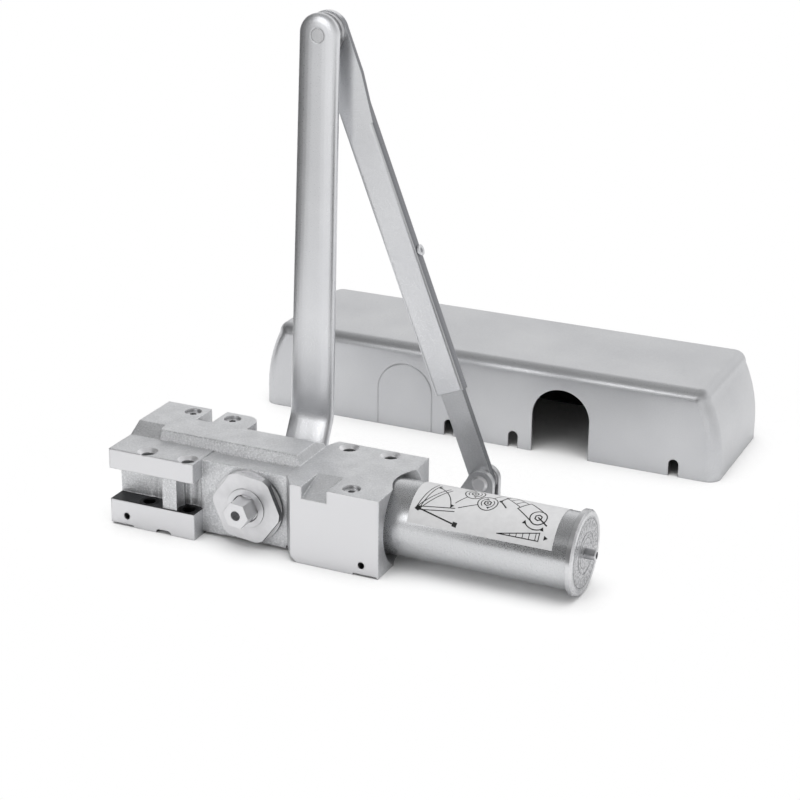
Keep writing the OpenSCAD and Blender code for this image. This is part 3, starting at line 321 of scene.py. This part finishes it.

# %% [markdown]
# ## The smaller finishes
# Oiled black steel for the small screws, die-cast zinc for the dial, bronze for bearings,
# nitrile rubber for seals, a near black painted shade for the cover's inside, and a white
# film for the label. Each is short, and each has a grain of its own size, because a single
# flat grey never looks like a material.

# %% Steel, zinc, bronze, rubber, inside shade and film
def plain_finish(name, light, dark, rough, metal, grain, depth=0.01):
    """A simple finish: two tones, a roughness that varies with the same grain, a fine bump."""
    material, tree, where = new_material(name)
    value = put(tree, "TexNoise", {0: where, "Scale": 1 / grain, "Detail": 4, "Roughness": 0.6})
    share = put(tree, "MapRange", {0: value, 1: 0.35, 2: 0.65})
    colour = put(tree, "Mix", {0: share, 6: paint(dark), 7: paint(light)}, data_type="RGBA")
    gloss = put(tree, "MapRange", {0: share, 3: rough + 0.07, 4: rough - 0.07})
    bump = put(tree, "Bump", {"Height": value, "Distance": mm(depth), "Strength": 0.6})
    shader = put(tree, "BsdfPrincipled", {"Base Color": colour, "Metallic": metal,
                                          "Roughness": gloss, "Normal": bump})
    put(tree, "OutputMaterial", {"Surface": shader})
    return material


black_steel = plain_finish("oiled black steel", "5A5B5E", "3C3D40", 0.38, 0.8, mm(1.2))
spring_steel = plain_finish("spring steel", "4A4A4E", "2F3033", 0.34, 0.85, mm(3))
dial_zinc = plain_finish("die-cast zinc", "D2D2D4", "8C8D90", 0.42, 0.8, mm(1.3), 0.12)
bronze = plain_finish("bearing bronze", "B98F4E", "8F6B38", 0.4, 0.9, mm(2))
rubber = plain_finish("nitrile rubber", "1C1C1D", "121213", 0.62, 0.0, mm(0.8))
# Painted shade: a near black that stands for the unlit inside of the cover.
cover_inside_shade = plain_finish("black primer", "232324", "19191A", 0.7, 0.0, mm(2))
film = plain_finish("label film", "C8C8C9", "C3C3C4", 0.5, 0.0, mm(4), 0.004)
ink = plain_finish("label ink", "1A1A1A", "101010", 0.5, 0.0, mm(1), 0.004)
print("materials so far:", len(bpy.data.materials))

# %% [markdown]
# ## Which piece gets which finish
# A table of finishes and the solids that carry them. The check at the end makes sure that
# no solid was forgotten.

# %% Hand out the finishes
FINISHES = {
    cast_silver: ["body_casting"],
    arm_silver: ["main_arm", "clamp_screw"],
    fold_silver: ["forearm_sleeve"],
    rod_silver: ["forearm_rod"],
    shoe_silver: ["shoe_bracket"],
    cover_silver: ["cover_shell"],
    tube_silver: ["spring_tube"],
    gland_steel: ["front_gland", "rear_gland"],
    shaft_steel: ["pinion_shaft", "arm_washer", "shoe_pin", "shoe_pin_washer"],
    tube_steel: ["tube_end_cap", "adjusting_screw", "end_plug", "rack_piston", "piston_ring",
                 "spring_seat", "check_valve_ball"],
    dial_zinc: ["adjuster_dial"],
    elbow_steel: ["elbow_rivet", "closing_valve", "latching_valve", "backcheck_valve"],
    bushing_shade_steel: ["elbow_bushing"],
    black_steel: ["arm_screw"],
    spring_steel: ["power_spring"],
    bronze: ["front_bearing", "rear_bearing", "thrust_washer", "check_valve_seat"],
    rubber: ["end_plug_seal", "front_gland_seal", "rear_gland_seal", "front_shaft_seal",
             "rear_shaft_seal", "tube_seal", "closing_valve_seal", "latching_valve_seal",
             "backcheck_valve_seal"],
    film: ["tube_label"],
}
dressed = set()
for finish, names in FINISHES.items():
    for name in names:
        solid = nodes[name]
        if not solid.data.materials:
            solid.data.materials.append(finish)
        for place in solid.material_slots:
            place.material = finish
        dressed.add(name)
assert dressed == set(nodes), sorted(set(nodes) - dressed)
print("finishes:", len(FINISHES), "on", len(dressed), "solids")

# %% [markdown]
# ## Hand tools for modelling
# The arm, the label's print, the dial's marks and the cover are modelled as a person would
# do it at the screen: start from a primitive, go into edit mode, select by place and move,
# inset or cut. These helpers select by a rule instead of by mouse. Everything is deselected
# first, because the loaded solids arrive selected and an operator works on all that is
# selected.

# %% Selecting by rule
def start(operator, **settings):
    """Adds a primitive on its own and opens it in edit mode."""
    bpy.ops.object.select_all(action="DESELECT")
    operator(**settings)
    bpy.ops.object.mode_set(mode="EDIT")
    return bpy.context.object


def pick(piece, rule, kind="VERT"):
    """Selects the vertices or faces of the open mesh whose place, in mm, meets the rule."""
    bpy.ops.mesh.select_mode(type=kind)
    bpy.ops.mesh.select_all(action="DESELECT")
    bpy.ops.object.mode_set(mode="OBJECT")
    for part in (piece.data.vertices if kind == "VERT" else piece.data.polygons):
        at = piece.matrix_world @ (part.co if kind == "VERT" else part.center)
        part.select = bool(rule(at * 1000))
    bpy.ops.object.mode_set(mode="EDIT")


def place_in_mesh(piece):
    """Leaves edit mode and puts the piece's place into its mesh, with its object at zero."""
    if bpy.context.mode != "OBJECT":
        bpy.ops.object.mode_set(mode="OBJECT")
    bpy.ops.object.select_all(action="DESELECT")
    piece.select_set(True)
    bpy.context.view_layer.objects.active = piece
    bpy.ops.object.transform_apply(location=True, rotation=True, scale=True)


def apply_change(piece, kind, **settings):
    """Adds a modifier to the piece, sets it and applies it."""
    bpy.context.view_layer.objects.active = piece
    change = piece.modifiers.new(kind.lower(), kind)
    for key, value in settings.items():
        setattr(change, key, value)
    bpy.ops.object.modifier_apply(modifier=change.name)


def cut_with(piece, cutter, operation="DIFFERENCE"):
    """Joins or cuts the piece with another, which is used up."""
    apply_change(piece, "BOOLEAN", operation=operation, object=cutter, solver="EXACT")
    bpy.data.objects.remove(cutter)


def bar_along_y(x, z, radius, y_from, y_to, sides=72):
    """A closed round bar along Y, in millimetres, for joining or cutting."""
    bpy.ops.object.select_all(action="DESELECT")
    bpy.ops.mesh.primitive_cylinder_add(vertices=sides, radius=mm(radius), depth=mm(y_to - y_from),
                                        location=mm(x, (y_from + y_to) / 2, z),
                                        rotation=(math.pi / 2, 0, 0))
    bar = bpy.context.object
    place_in_mesh(bar)
    return bar


# %% [markdown]
# ## The main arm
# The arm is a forged bar. Its face is slightly crowned, which is why it shows a bright
# band down its middle and darkens to the left, and its edges are well rounded. A flat
# solid can't show that. It could be lofted from sections, but by hand it is quicker to draw
# the outline once and inset it step by step, each step a little further forward.
# A circle stands at the elbow, and its lower half is pulled down to the hub and grown to
# the hub's width. The first insets make the rounded edge, the later ones the crown.

# %% Arm outline and crown
FRONT, BACK = 55.1, 60.3
ELBOW_R, HUB_R = 13.4, 15.6
CROWN = [(0.15, 0.45), (0.25, 0.42), (0.5, 0.5), (0.9, 0.5), (1.4, 0.45), (2.0, 0.35),
         (2.4, 0.2), (2.6, 0.07)]
BACK_EDGE = [(0.25, 0.4), (0.6, 0.3)]
crown_foot = FRONT + sum(step[1] for step in CROWN)
edge_foot = BACK - sum(step[1] for step in BACK_EDGE)

arm = start(bpy.ops.mesh.primitive_circle_add, vertices=96, radius=mm(ELBOW_R), fill_type="NGON",
            location=mm(ELBOW[0], crown_foot, ELBOW[1]), rotation=(math.pi / 2, 0, 0))
arm.name = "main_arm_forged"
pick(arm, lambda at: at.z < ELBOW[1] - 0.05)
bpy.ops.transform.resize(value=(HUB_R / ELBOW_R,) * 3,
                         center_override=mm(ELBOW[0], crown_foot, ELBOW[1]))
bpy.ops.transform.translate(value=mm(HUB[0] - ELBOW[0], 0, HUB[1] - ELBOW[1]))
bpy.ops.mesh.select_mode(type="FACE")
bpy.ops.mesh.select_all(action="SELECT")
bpy.ops.mesh.extrude_region_move(TRANSFORM_OT_translate={"value": mm(0, edge_foot - crown_foot, 0)})
for width, depth in BACK_EDGE:
    bpy.ops.mesh.inset(thickness=mm(width), depth=0)
    bpy.ops.transform.translate(value=mm(0, depth, 0))
pick(arm, lambda at: at.y < crown_foot + 0.05, "FACE")
print("front faces selected:", sum(f.select for f in arm.data.polygons))
for width, depth in CROWN:
    bpy.ops.mesh.inset(thickness=mm(width), depth=0)
    bpy.ops.transform.translate(value=mm(0, -depth, 0))
place_in_mesh(arm)
print("arm so far:", len(arm.data.vertices), "vertices,", [round(1000 * v, 1) for v in arm.dimensions])

# %% [markdown]
# The arm is cranked: its hub lies 12.5 mm nearer to the body than its blade. Knife cuts
# across the bar, close together where it bends, give the mesh something to bend at. Then
# every point below the bends moves forward by as much as the crank asks at its height.

# %% Crank of the arm
CRANK, BEND_FROM, BEND_TO = 12.5, 30.8, 57.6


def crank(z):
    """How far the bar lies in front of its blade at height z, with both bends rounded."""
    spread = BEND_TO - BEND_FROM
    share = [min(1, max(0, (z + soft - BEND_FROM) / spread)) for soft in (-3, -2, -1, 0, 1, 2, 3)]
    return CRANK * (1 - sum(share) / len(share))


bpy.context.view_layer.objects.active = arm
bpy.ops.object.mode_set(mode="EDIT")
for height in [12, 20, 27.6, 29.2, 30.8, 32.4, 34, 39, 44, 49, 54.4, 56, 57.6, 59.2, 60.8]:
    bpy.ops.mesh.select_all(action="SELECT")
    bpy.ops.mesh.bisect(plane_co=mm(0, 0, height), plane_no=(0, 0, 1))
bpy.ops.object.mode_set(mode="OBJECT")
for point in arm.data.vertices:
    point.co.y -= mm(crank(point.co.z * 1000))
print("crank at the hub:", round(crank(20), 2), "mm, at the elbow:", round(crank(300), 2), "mm")

# %% [markdown]
# The boss round the pinion's end is joined on. The socket for the hexagon, the spot face
# for the washer and the rivet's hole are cut, as they would be on a drill press.

# %% Boss, socket and holes of the arm
BOSS_R, SOCKET_ROUND_R, ARM_SCREW_R, SPOT_FACE_R, RIVET_R = 14.5, 8.95, 3.25, 7.6, 4.36
SMOOTH_UNDER = math.radians(32)

cut_with(arm, bar_along_y(*HUB, BOSS_R, y_from=34.6, y_to=44.4, sides=96), "UNION")
cut_with(arm, bar_along_y(*HUB, SOCKET_ROUND_R, y_from=30, y_to=45.15))
cut_with(arm, bar_along_y(*HUB, ARM_SCREW_R, y_from=40, y_to=60, sides=48))
cut_with(arm, bar_along_y(*HUB, SPOT_FACE_R, y_from=47.8, y_to=70))
cut_with(arm, bar_along_y(*ELBOW, RIVET_R, y_from=50, y_to=64, sides=64))
bpy.ops.object.shade_smooth_by_angle(angle=SMOOTH_UNDER)
arm.data.materials.append(arm_silver)
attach(arm, "arm")
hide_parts("main_arm")
print("arm:", len(arm.data.polygons), "faces")

# %% [markdown]
# ## The label's print
# The real label shows how to set the closer, in line drawings. This one has drawings of its
# own: a door's sweep seen from above, two valve screws with their turning arrows, the end
# of the tube with its key, and a wedge from weak to strong. It is drawn flat, with u
# along the tube and v up from the label's front edge, and then rolled round the tube.
# Each stroke starts as a primitive plane or circle, so that its width stays exact.

# %% Strokes of the drawing
strokes = []


def line(a, b, width=0.75):
    """A straight stroke from a to b."""
    length, angle = math.dist(a, b), math.atan2(b[1] - a[1], b[0] - a[0])
    stroke = start(bpy.ops.mesh.primitive_plane_add, size=1)
    bpy.ops.mesh.select_all(action="SELECT")
    bpy.ops.transform.resize(value=(mm(length + width), mm(width), 1))
    bpy.ops.object.mode_set(mode="OBJECT")
    stroke.rotation_euler.z = angle
    stroke.location = mm((a[0] + b[0]) / 2, (a[1] + b[1]) / 2, 0)
    place_in_mesh(stroke)
    strokes.append(stroke)


def hoop(centre, radius, start_at=0, turn=360, width=0.7, sides=72):
    """A ring or an arc: a circle whose edge is extruded inwards, less the part not wanted."""
    stroke = start(bpy.ops.mesh.primitive_circle_add, vertices=sides, radius=mm(radius + width / 2),
                   location=mm(*centre, 0))
    bpy.ops.mesh.select_all(action="SELECT")
    bpy.ops.mesh.extrude_edges_move(TRANSFORM_OT_translate={"value": (0, 0, 0)})
    inside = (radius - width / 2) / (radius + width / 2)
    bpy.ops.transform.resize(value=(inside, inside, 1), center_override=mm(*centre, 0))
    if turn < 360:
        def past(at):
            """The angle of a place beyond the arc's start, in degrees."""
            return (math.degrees(math.atan2(at.y - centre[1], at.x - centre[0])) - start_at) % 360

        pick(stroke, lambda at: past(at) > turn, "FACE")
        bpy.ops.mesh.delete(type="FACE")
    place_in_mesh(stroke)
    strokes.append(stroke)


def disc(centre, radius, sides=6, turn=0.0):
    """A filled dot, or with few sides a filled arrow head or hexagon."""
    bpy.ops.object.select_all(action="DESELECT")
    bpy.ops.mesh.primitive_circle_add(vertices=sides, radius=mm(radius), fill_type="NGON",
                                      location=mm(*centre, 0), rotation=(0, 0, math.radians(turn)))
    place_in_mesh(bpy.context.object)
    strokes.append(bpy.context.object)


def joined(name):
    """Joins all strokes so far into one flat piece and starts a new drawing."""
    bpy.ops.object.select_all(action="DESELECT")
    for stroke in strokes:
        stroke.select_set(True)
    bpy.context.view_layer.objects.active = strokes[0]
    bpy.ops.object.join()
    piece = bpy.context.object
    piece.name = name
    place_in_mesh(piece)
    strokes.clear()
    return piece


def inked(piece, finish, thick):
    """Turns the drawing's faces one way, gives it thickness and a finish."""
    bpy.context.view_layer.objects.active = piece
    bpy.ops.object.mode_set(mode="EDIT")
    bpy.ops.mesh.select_all(action="SELECT")
    bpy.ops.mesh.normals_make_consistent(inside=False)
    bpy.ops.object.mode_set(mode="OBJECT")
    apply_change(piece, "SOLIDIFY", thickness=mm(thick), offset=0)
    piece.data.materials.clear()
    piece.data.materials.append(finish)
    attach(piece, "closer_body")
    print(piece.name, len(piece.data.vertices), "vertices")


# %% Door sweep, seen from above
HINGE = (5, 10)
for tip in ((28, 13), (20, 29), (11, 33)):
    side = Vector((tip[1] - HINGE[1], HINGE[0] - tip[0])).normalized() * 1.1
    for way in (-1, 1):
        line((HINGE[0] + side.x * way, HINGE[1] + side.y * way),
             (tip[0] + side.x * way, tip[1] + side.y * way), 0.55)
line(HINGE, (30, 4), 0.9)
hoop(HINGE, 20.5, 12, 58, 0.6)
disc((25.4, 15.4), 1.6, 3, 285)
disc((12.6, 29.6), 1.6, 3, 160)
disc(HINGE, 2.1, 4, 20)
disc((30.5, 4), 2.1, 4, 35)
print("strokes:", len(strokes))

# %% Two valve screws and their arrows
ARROW_R = 4
for centre in ((35, 30.5), (46, 23)):
    hoop(centre, 6.1, width=0.65)
    hoop(centre, 2.2, width=0.9, sides=6)
    disc(centre, 0.8, 6)
    for turn in (110, 290):
        hoop(centre, ARROW_R, turn, 120, 0.55)
        tip = (centre[0] + ARROW_R * math.cos(math.radians(turn)),
               centre[1] + ARROW_R * math.sin(math.radians(turn)))
        disc(tip, 1.2, 3, turn - 90)
line((27, 18), (32, 25), 0.55)
line((30, 15), (40.5, 20), 0.55)
line((48, 29.2), (52, 38), 0.55)
print("strokes:", len(strokes))

# %% Closer body and arm, seen at an angle
body_a, body_b = Vector((56, 36)), Vector((68, 27.5))
across = Vector((8.5, 12)).normalized()
along = Vector((12, -8.5)).normalized()
for side in (-1, 1):
    line(body_a + across * 3.2 * side, body_b + across * 3.2 * side, 0.6)
for share in (0, 0.35, 0.7, 1):
    spot = body_a.lerp(body_b, share)
    line(spot - across * 3.2, spot + across * 3.2, 0.6)
line(body_a, body_a + Vector((-3, -9)), 0.9)
line(body_a + Vector((-3, -9)), body_a + Vector((2, -14)), 0.9)
disc(body_a + Vector((-3, -9)), 1.1, 12)
print("strokes:", len(strokes))

# %% Tube end with its key, and the wedge from weak to strong
tube_b = Vector((80, 19))
for side in (-1, 1):
    line(body_b + across * 5 * side, tube_b + across * 5 * side, 0.7)
line(body_b - across * 5, body_b + across * 5, 0.7)
hoop(tube_b, 5.2, width=0.75)
hoop(tube_b, 2.2, width=0.9, sides=6)
line(tube_b, tube_b + along * 8, 0.9)
hoop(tube_b, 8.6, 215, 90, 0.7)
disc(tube_b + Vector((-7.2, -5)), 1.7, 3, 120)
disc(tube_b + Vector((4.6, -7.6)), 1.7, 3, 350)
for a, b in (((58, 4), (84, 4)), ((84, 4), (84, 9)), ((58, 4), (84, 9))):
    line(a, b, 0.6)
for step in range(6):
    u = 62 + 4 * step
    line((u, 4), (u, 4 + (u - 58) * 5 / 26), 0.5)
disc((88, 6.5), 1.7, 3, -90)
print("strokes:", len(strokes))

# %% [markdown]
# Rolling up is one line of arithmetic: v becomes an angle round the tube. Long strokes are
# cut across first, once for every millimetre, so that they follow the curve instead of
# cutting through it. A Solidify modifier gives the ink its thickness.

# %% Roll the print round the tube
label_print = joined("label_print")
bpy.ops.object.mode_set(mode="EDIT")
for v in range(1, 41):
    bpy.ops.mesh.select_all(action="SELECT")
    bpy.ops.mesh.bisect(plane_co=mm(0, v, 0), plane_no=(0, 1, 0))
bpy.ops.object.mode_set(mode="OBJECT")
INK_R, LABEL_LEFT = 24.215, 106.0
FRONT_EDGE = math.radians(70)
for point in label_print.data.vertices:
    u, v = point.co.x * 1000, point.co.y * 1000
    turn = FRONT_EDGE - v / 24.2
    point.co = mm(LABEL_LEFT + u, -INK_R * math.sin(turn), AXIS + INK_R * math.cos(turn))
inked(label_print, ink, 0.03)

# %% [markdown]
# ## Marks on the dial
# The dial in the tube's end is a zinc disc with a line near its rim, a scale of strokes and
# an arrow that runs from weak to strong. The marks are cast in and hold dirt, so they show
# as thin dark lines. They are drawn with the same strokes, stood up on the disc's face,
# and reach 0.02 mm out of it.

# %% Dial marks
RIM_R, SCALE_R, ARC_R, ARC_FROM = 21.4, 19.6, 9.5, 20
hoop((0, 0), RIM_R, width=0.35, sides=96)
hoop((0, 0), ARC_R, ARC_FROM, 250, 0.35)
for step in range(17):
    turn = math.radians(150 - 15 * step)
    inner = SCALE_R - (3.4 if step % 4 == 0 else 2)
    line((SCALE_R * math.cos(turn), SCALE_R * math.sin(turn)),
         (inner * math.cos(turn), inner * math.sin(turn)), 0.4)
turn = math.radians(ARC_FROM)
disc((ARC_R * math.cos(turn), ARC_R * math.sin(turn)), 1.2, 3, 290)
dial_marks = joined("dial_marks")
face = 1000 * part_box("adjuster_dial")[1][0]
for point in dial_marks.data.vertices:
    point.co = Vector((mm(face + 0.01), point.co.x, point.co.y + mm(AXIS)))
inked(dial_marks, black_steel, 0.02)

# %% [markdown]
# ## The pressed cover
# The cover is deep-drawn from sheet: its ends bow inwards as they rise, and every corner
# flows into the next, which crossed outlines in CAD can't give. By hand it starts as a
# plane with rounded corners and is extruded up ring by ring. On the way the ends are
# drawn in along a 98 mm arc, and the last rings are inset along the 8 mm top edge.

# %% Draw the cover up from its rounded plan
LONG, DEEP, TALL, SKIRT, BOW, EDGE = 347.7, 102.0, 64.0, 13.0, 98.0, 8.0
MID, FACE_Y, WALL, CORNER = 64.9, 196.2, 2.0, 9.5


def drawn_in(z):
    """How far the ends have moved inwards at height z."""
    return BOW - math.sqrt(BOW ** 2 - max(0, z - SKIRT) ** 2)


cover = start(bpy.ops.mesh.primitive_plane_add, size=1, location=mm(MID, FACE_Y + DEEP / 2, 0))
cover.name = "cover_pressed"
bpy.ops.transform.resize(value=(mm(LONG), mm(DEEP), 1))
bpy.ops.mesh.bevel(offset=mm(CORNER), segments=10, affect="VERTICES")
bpy.ops.mesh.select_mode(type="FACE")
bpy.ops.mesh.select_all(action="SELECT")
level = 0.0
for z in (6.5, 13, 20, 27, 34, 41, 48, 52, TALL - EDGE):
    bpy.ops.mesh.extrude_region_move(TRANSFORM_OT_translate={"value": mm(0, 0, z - level)})
    shift = drawn_in(z) - drawn_in(level)
    for way in (-1, 1):
        pick(cover, lambda at: at.z > z - 0.1 and (at.x - MID) * way > 0)
        bpy.ops.transform.translate(value=mm(-shift * way, 0, 0))
    pick(cover, lambda at: at.z > z - 0.1, "FACE")
    level = z
last = 0.0
for step in range(1, 7):
    turn = math.radians(15 * step)
    inset = EDGE * (1 - math.cos(turn))
    height = TALL - EDGE + EDGE * math.sin(turn)
    bpy.ops.mesh.inset(thickness=mm(inset - last), depth=0)
    bpy.ops.transform.translate(value=mm(0, 0, height - level))
    last, level = inset, height
pick(cover, lambda at: at.z < 0.1, "FACE")
bpy.ops.mesh.delete(type="ONLY_FACE")
place_in_mesh(cover)
apply_change(cover, "SOLIDIFY", thickness=mm(WALL), offset=-1, use_even_offset=True)
print("cover:", len(cover.data.vertices), "vertices,", [round(1000 * v, 1) for v in cover.dimensions])

# %% [markdown]
# The arm's arch and the four screw notches are punched out. Each punch is a circle whose
# lower half is flattened onto a line below the cover's foot. The knock-out for the other
# hand is only scored: a half ring and two lines, 0.6 mm wide, cut 0.5 mm deep.

# %% Punch the arch and the notches, and score the knock-out
def punch(x, wide, high):
    """A closed arch through the front wall, in millimetres from the cover's middle."""
    centre = high - wide / 2
    tool = start(bpy.ops.mesh.primitive_circle_add, vertices=64, radius=mm(wide / 2),
                 fill_type="NGON", location=mm(MID + x, FACE_Y - 1, centre),
                 rotation=(math.pi / 2, 0, 0))
    pick(tool, lambda at: at.z < centre - 0.01)
    bpy.ops.transform.resize(value=(1, 1, 0), center_override=mm(MID + x, FACE_Y, -1))
    bpy.ops.mesh.select_mode(type="FACE")
    bpy.ops.mesh.select_all(action="SELECT")
    bpy.ops.mesh.extrude_region_move(TRANSFORM_OT_translate={"value": mm(0, WALL + 2, 0)})
    place_in_mesh(tool)
    bpy.ops.object.mode_set(mode="EDIT")
    bpy.ops.mesh.select_all(action="SELECT")
    bpy.ops.mesh.normals_make_consistent(inside=False)
    bpy.ops.object.mode_set(mode="OBJECT")
    return tool


ARCH_X, ARCH_WIDE, ARCH_HIGH = 59.5, 42.3, 48.9
NOTCH_X, NOTCH_WIDE, NOTCH_HIGH = (-142.4, -24.6, 24.6, 142.4), 7.2, 12.3
SCORE, spring_line = 0.6, ARCH_HIGH - ARCH_WIDE / 2

cut_with(cover, punch(ARCH_X, ARCH_WIDE, ARCH_HIGH))
for x in NOTCH_X:
    cut_with(cover, punch(x, NOTCH_WIDE, NOTCH_HIGH))
for x in (-ARCH_X - ARCH_WIDE / 2, -ARCH_X + ARCH_WIDE / 2):
    line((x, -1), (x, spring_line), SCORE)
hoop((-ARCH_X, spring_line), ARCH_WIDE / 2, 0, 180, SCORE)
for groove in strokes:
    apply_change(groove, "SOLIDIFY", thickness=mm(1), offset=0)
    for point in groove.data.vertices:
        point.co = Vector((point.co.x + mm(MID), mm(FACE_Y) - point.co.z, point.co.y))
    cut_with(cover, groove)
strokes.clear()
print("after the punches:", len(cover.data.vertices), "vertices")

# %% [markdown]
# The inside gets a near black painted shade, for the dark hollow: a second finish goes to
# each face that looks towards the middle of the hollow. A Weighted Normal modifier lets the
# large flat faces keep their own direction, so that only the corners turn the light.

# %% Painted shade inside, smooth corners
bpy.ops.object.select_all(action="DESELECT")
cover.select_set(True)
bpy.context.view_layer.objects.active = cover
bpy.ops.object.shade_smooth_by_angle(angle=SMOOTH_UNDER)
apply_change(cover, "WEIGHTED_NORMAL", mode="FACE_AREA", weight=100, keep_sharp=True)
cover.data.materials.clear()
cover.data.materials.append(cover_silver)
cover.data.materials.append(cover_inside_shade)
for wall in cover.data.polygons:
    at = wall.center * 1000
    heart = Vector((min(max(at.x, MID - 130), MID + 130), FACE_Y + DEEP / 2, 15))
    from_face = min(at.y - FACE_Y, FACE_Y + DEEP - at.y)
    wall.material_index = int(wall.normal.dot(heart - at) > 0 and from_face > WALL - 0.1)
print("faces in painted shade:", sum(wall.material_index for wall in cover.data.polygons))
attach(cover, "cover")
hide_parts("cover_shell")

# %% [markdown]
# ## Table and light
# The table is white paper. Near the object it is a matt white that takes the soft shadows.
# Where the paper lies open, the camera sees it partly as plain white, so the wide shadows
# are faint and only those close under the object stay dark. Further out it fades into a
# paper that is exactly white, also for what the metal mirrors. To the camera that white is
# the white room seen through the paper, so an arm that swings below the table still shows.
# No light is added to the object.

# %% White table
FADE_FROM, FADE_TO, TABLE_SIZE = 260, 700, 14000

table_white, tree, where = new_material("white table")
paper = put(tree, "BsdfPrincipled", {"Base Color": paint("FAFAFA"), "Roughness": 0.9,
                                     "Specular IOR Level": 0.1})
away = put(tree, "VectorMath", {0: where, 1: mm(60, 60, 0)}, operation="DISTANCE").outputs["Value"]
sight = put(tree, "LightPath").outputs
seen = put(tree, "Math", {0: sight["Is Camera Ray"], 1: sight["Is Glossy Ray"]}, operation="ADD")
seen = put(tree, "Math", {0: seen, 1: sight["Is Transmission Ray"]}, operation="ADD", use_clamp=True)
fade = put(tree, "MapRange", {0: away, 1: mm(FADE_FROM), 2: mm(FADE_TO)})
faded = put(tree, "Math", {0: seen, 1: fade}, operation="MULTIPLY")
open_sky = put(tree, "AmbientOcclusion", {"Distance": mm(120)}, samples=12).outputs["AO"]
lifted = put(tree, "MapRange", {0: open_sky, 1: 0.35, 2: 0.8, 3: 0.0, 4: 0.75})
lifted = put(tree, "Math", {0: lifted, 1: sight["Is Camera Ray"]}, operation="MULTIPLY")
white = put(tree, "Emission", {"Color": (1, 1, 1, 1), "Strength": 1.0})
near = put(tree, "MixShader", {0: lifted, 1: paper, 2: white})
lone = put(tree, "MapRange", {0: open_sky, 1: 0.8, 2: 0.92})
lone = put(tree, "Math", {0: lone, 1: sight["Is Camera Ray"]}, operation="MULTIPLY")
share = put(tree, "Math", {0: faded, 1: lone}, operation="MAXIMUM")
beyond = put(tree, "MixShader", {0: sight["Is Camera Ray"], 1: white,
                                 2: put(tree, "BsdfTransparent")})
both = put(tree, "MixShader", {0: share, 1: near, 2: beyond})
put(tree, "OutputMaterial", {"Surface": both})
bpy.ops.object.select_all(action="DESELECT")
bpy.ops.mesh.primitive_plane_add(size=mm(TABLE_SIZE), location=(0, 0, 0))
table = bpy.context.object
table.name = "table"
table.data.materials.append(table_white)
print("table:", [round(v, 1) for v in table.dimensions], "m")

# %% [markdown]
# The room is a world shader that depends on direction alone. Along the horizon it is a
# pale sweep. Above that the wall behind is bright, the ceiling is dim and the left is
# nearly dark, because metal needs something dark to mirror or it looks like plaster. The
# camera itself sees the room as plain white.

# %% Room light
world = bpy.data.worlds.new("studio")
bpy.context.scene.world = world
world.use_nodes = True
tree = world.node_tree
tree.nodes.clear()
x_to, y_to, z_to = put(tree, "SeparateXYZ", {0: put(tree, "TexCoord").outputs["Generated"]}).outputs
walls = put(tree, "MapRange", {0: y_to, 1: -0.3, 2: 0.5, 3: 0.55, 4: 0.95})
dim_top = put(tree, "MapRange", {0: z_to, 1: 0.5, 2: 0.85, 3: 1.0, 4: 0.45})
left_flag = put(tree, "MapRange", {0: x_to, 1: -0.95, 2: -0.45, 3: 0.15, 4: 1.0})
walls = put(tree, "Math", {0: walls, 1: dim_top}, operation="MULTIPLY")
flagged = put(tree, "Math", {0: walls, 1: left_flag}, operation="MULTIPLY")
height = put(tree, "Math", {0: z_to}, operation="ABSOLUTE")
sweep = put(tree, "MapRange", {0: height, 1: 0.1, 2: 0.2})
level = put(tree, "Mix", {0: sweep, 2: 0.8, 3: flagged}, data_type="FLOAT")
level = put(tree, "Mix", {0: put(tree, "LightPath").outputs["Is Camera Ray"], 2: level, 3: 1.0},
            data_type="FLOAT")
room = put(tree, "Background", {"Color": (1, 1, 1, 1), "Strength": level})
put(tree, "OutputWorld", {"Surface": room})


def softbox(name, place, aim, size, power):
    """A rectangular lamp at place that shines on aim, in millimetres."""
    lamp = bpy.data.lights.new(name, "AREA")
    lamp.shape = "RECTANGLE"
    lamp.size, lamp.size_y = mm(size[0]), mm(size[1])
    lamp.energy = power
    stand = bpy.data.objects.new(name, lamp)
    bpy.context.scene.collection.objects.link(stand)
    stand.location = mm(*place)
    stand.rotation_euler = (mm(*aim) - mm(*place)).to_track_quat("-Z", "Y").to_euler()
    return stand


overhead = softbox("top softbox", (0, 0, 1500), (60, 80, 0), (1600, 1400), 21)
overhead.visible_glossy = False
front = softbox("front softbox", (-600, -1500, 750), (60, 0, 60), (1100, 700), 4.5)
print("lamps in watts:", overhead.data.energy, front.data.energy)

# %% [markdown]
# A photographer stands black cards beside polished metal, so that its edges turn dark and
# the shape reads. One stands to the left, and one in front on the right, which the arm's
# right edge mirrors. Only mirrored rays see them, so that they take no light from the table.

# %% Black cards
card_black, tree, _ = new_material("black card")
matt = put(tree, "BsdfPrincipled", {"Base Color": paint("2A2A2A"), "Roughness": 0.9})
put(tree, "OutputMaterial", {"Surface": matt})

CARDS = [("left_card", (-300, -150, 300), (0, math.pi / 2, 0), (600, 660)),
         ("front_card", (200, -230, 100), (math.pi / 2, 0, 0), (270, 200))]
for name, place, turn, size in CARDS:
    bpy.ops.object.select_all(action="DESELECT")
    bpy.ops.mesh.primitive_plane_add(size=1, rotation=turn)
    card = bpy.context.object
    card.name = name
    card.scale = (mm(size[0]), mm(size[1]), 1)
    card.location = mm(*place)
    card.data.materials.append(card_black)
    card.visible_camera = card.visible_diffuse = card.visible_shadow = False
    print(name, "at", place, "mm")

# %% Colour view
bpy.context.scene.view_settings.view_transform = "Standard"
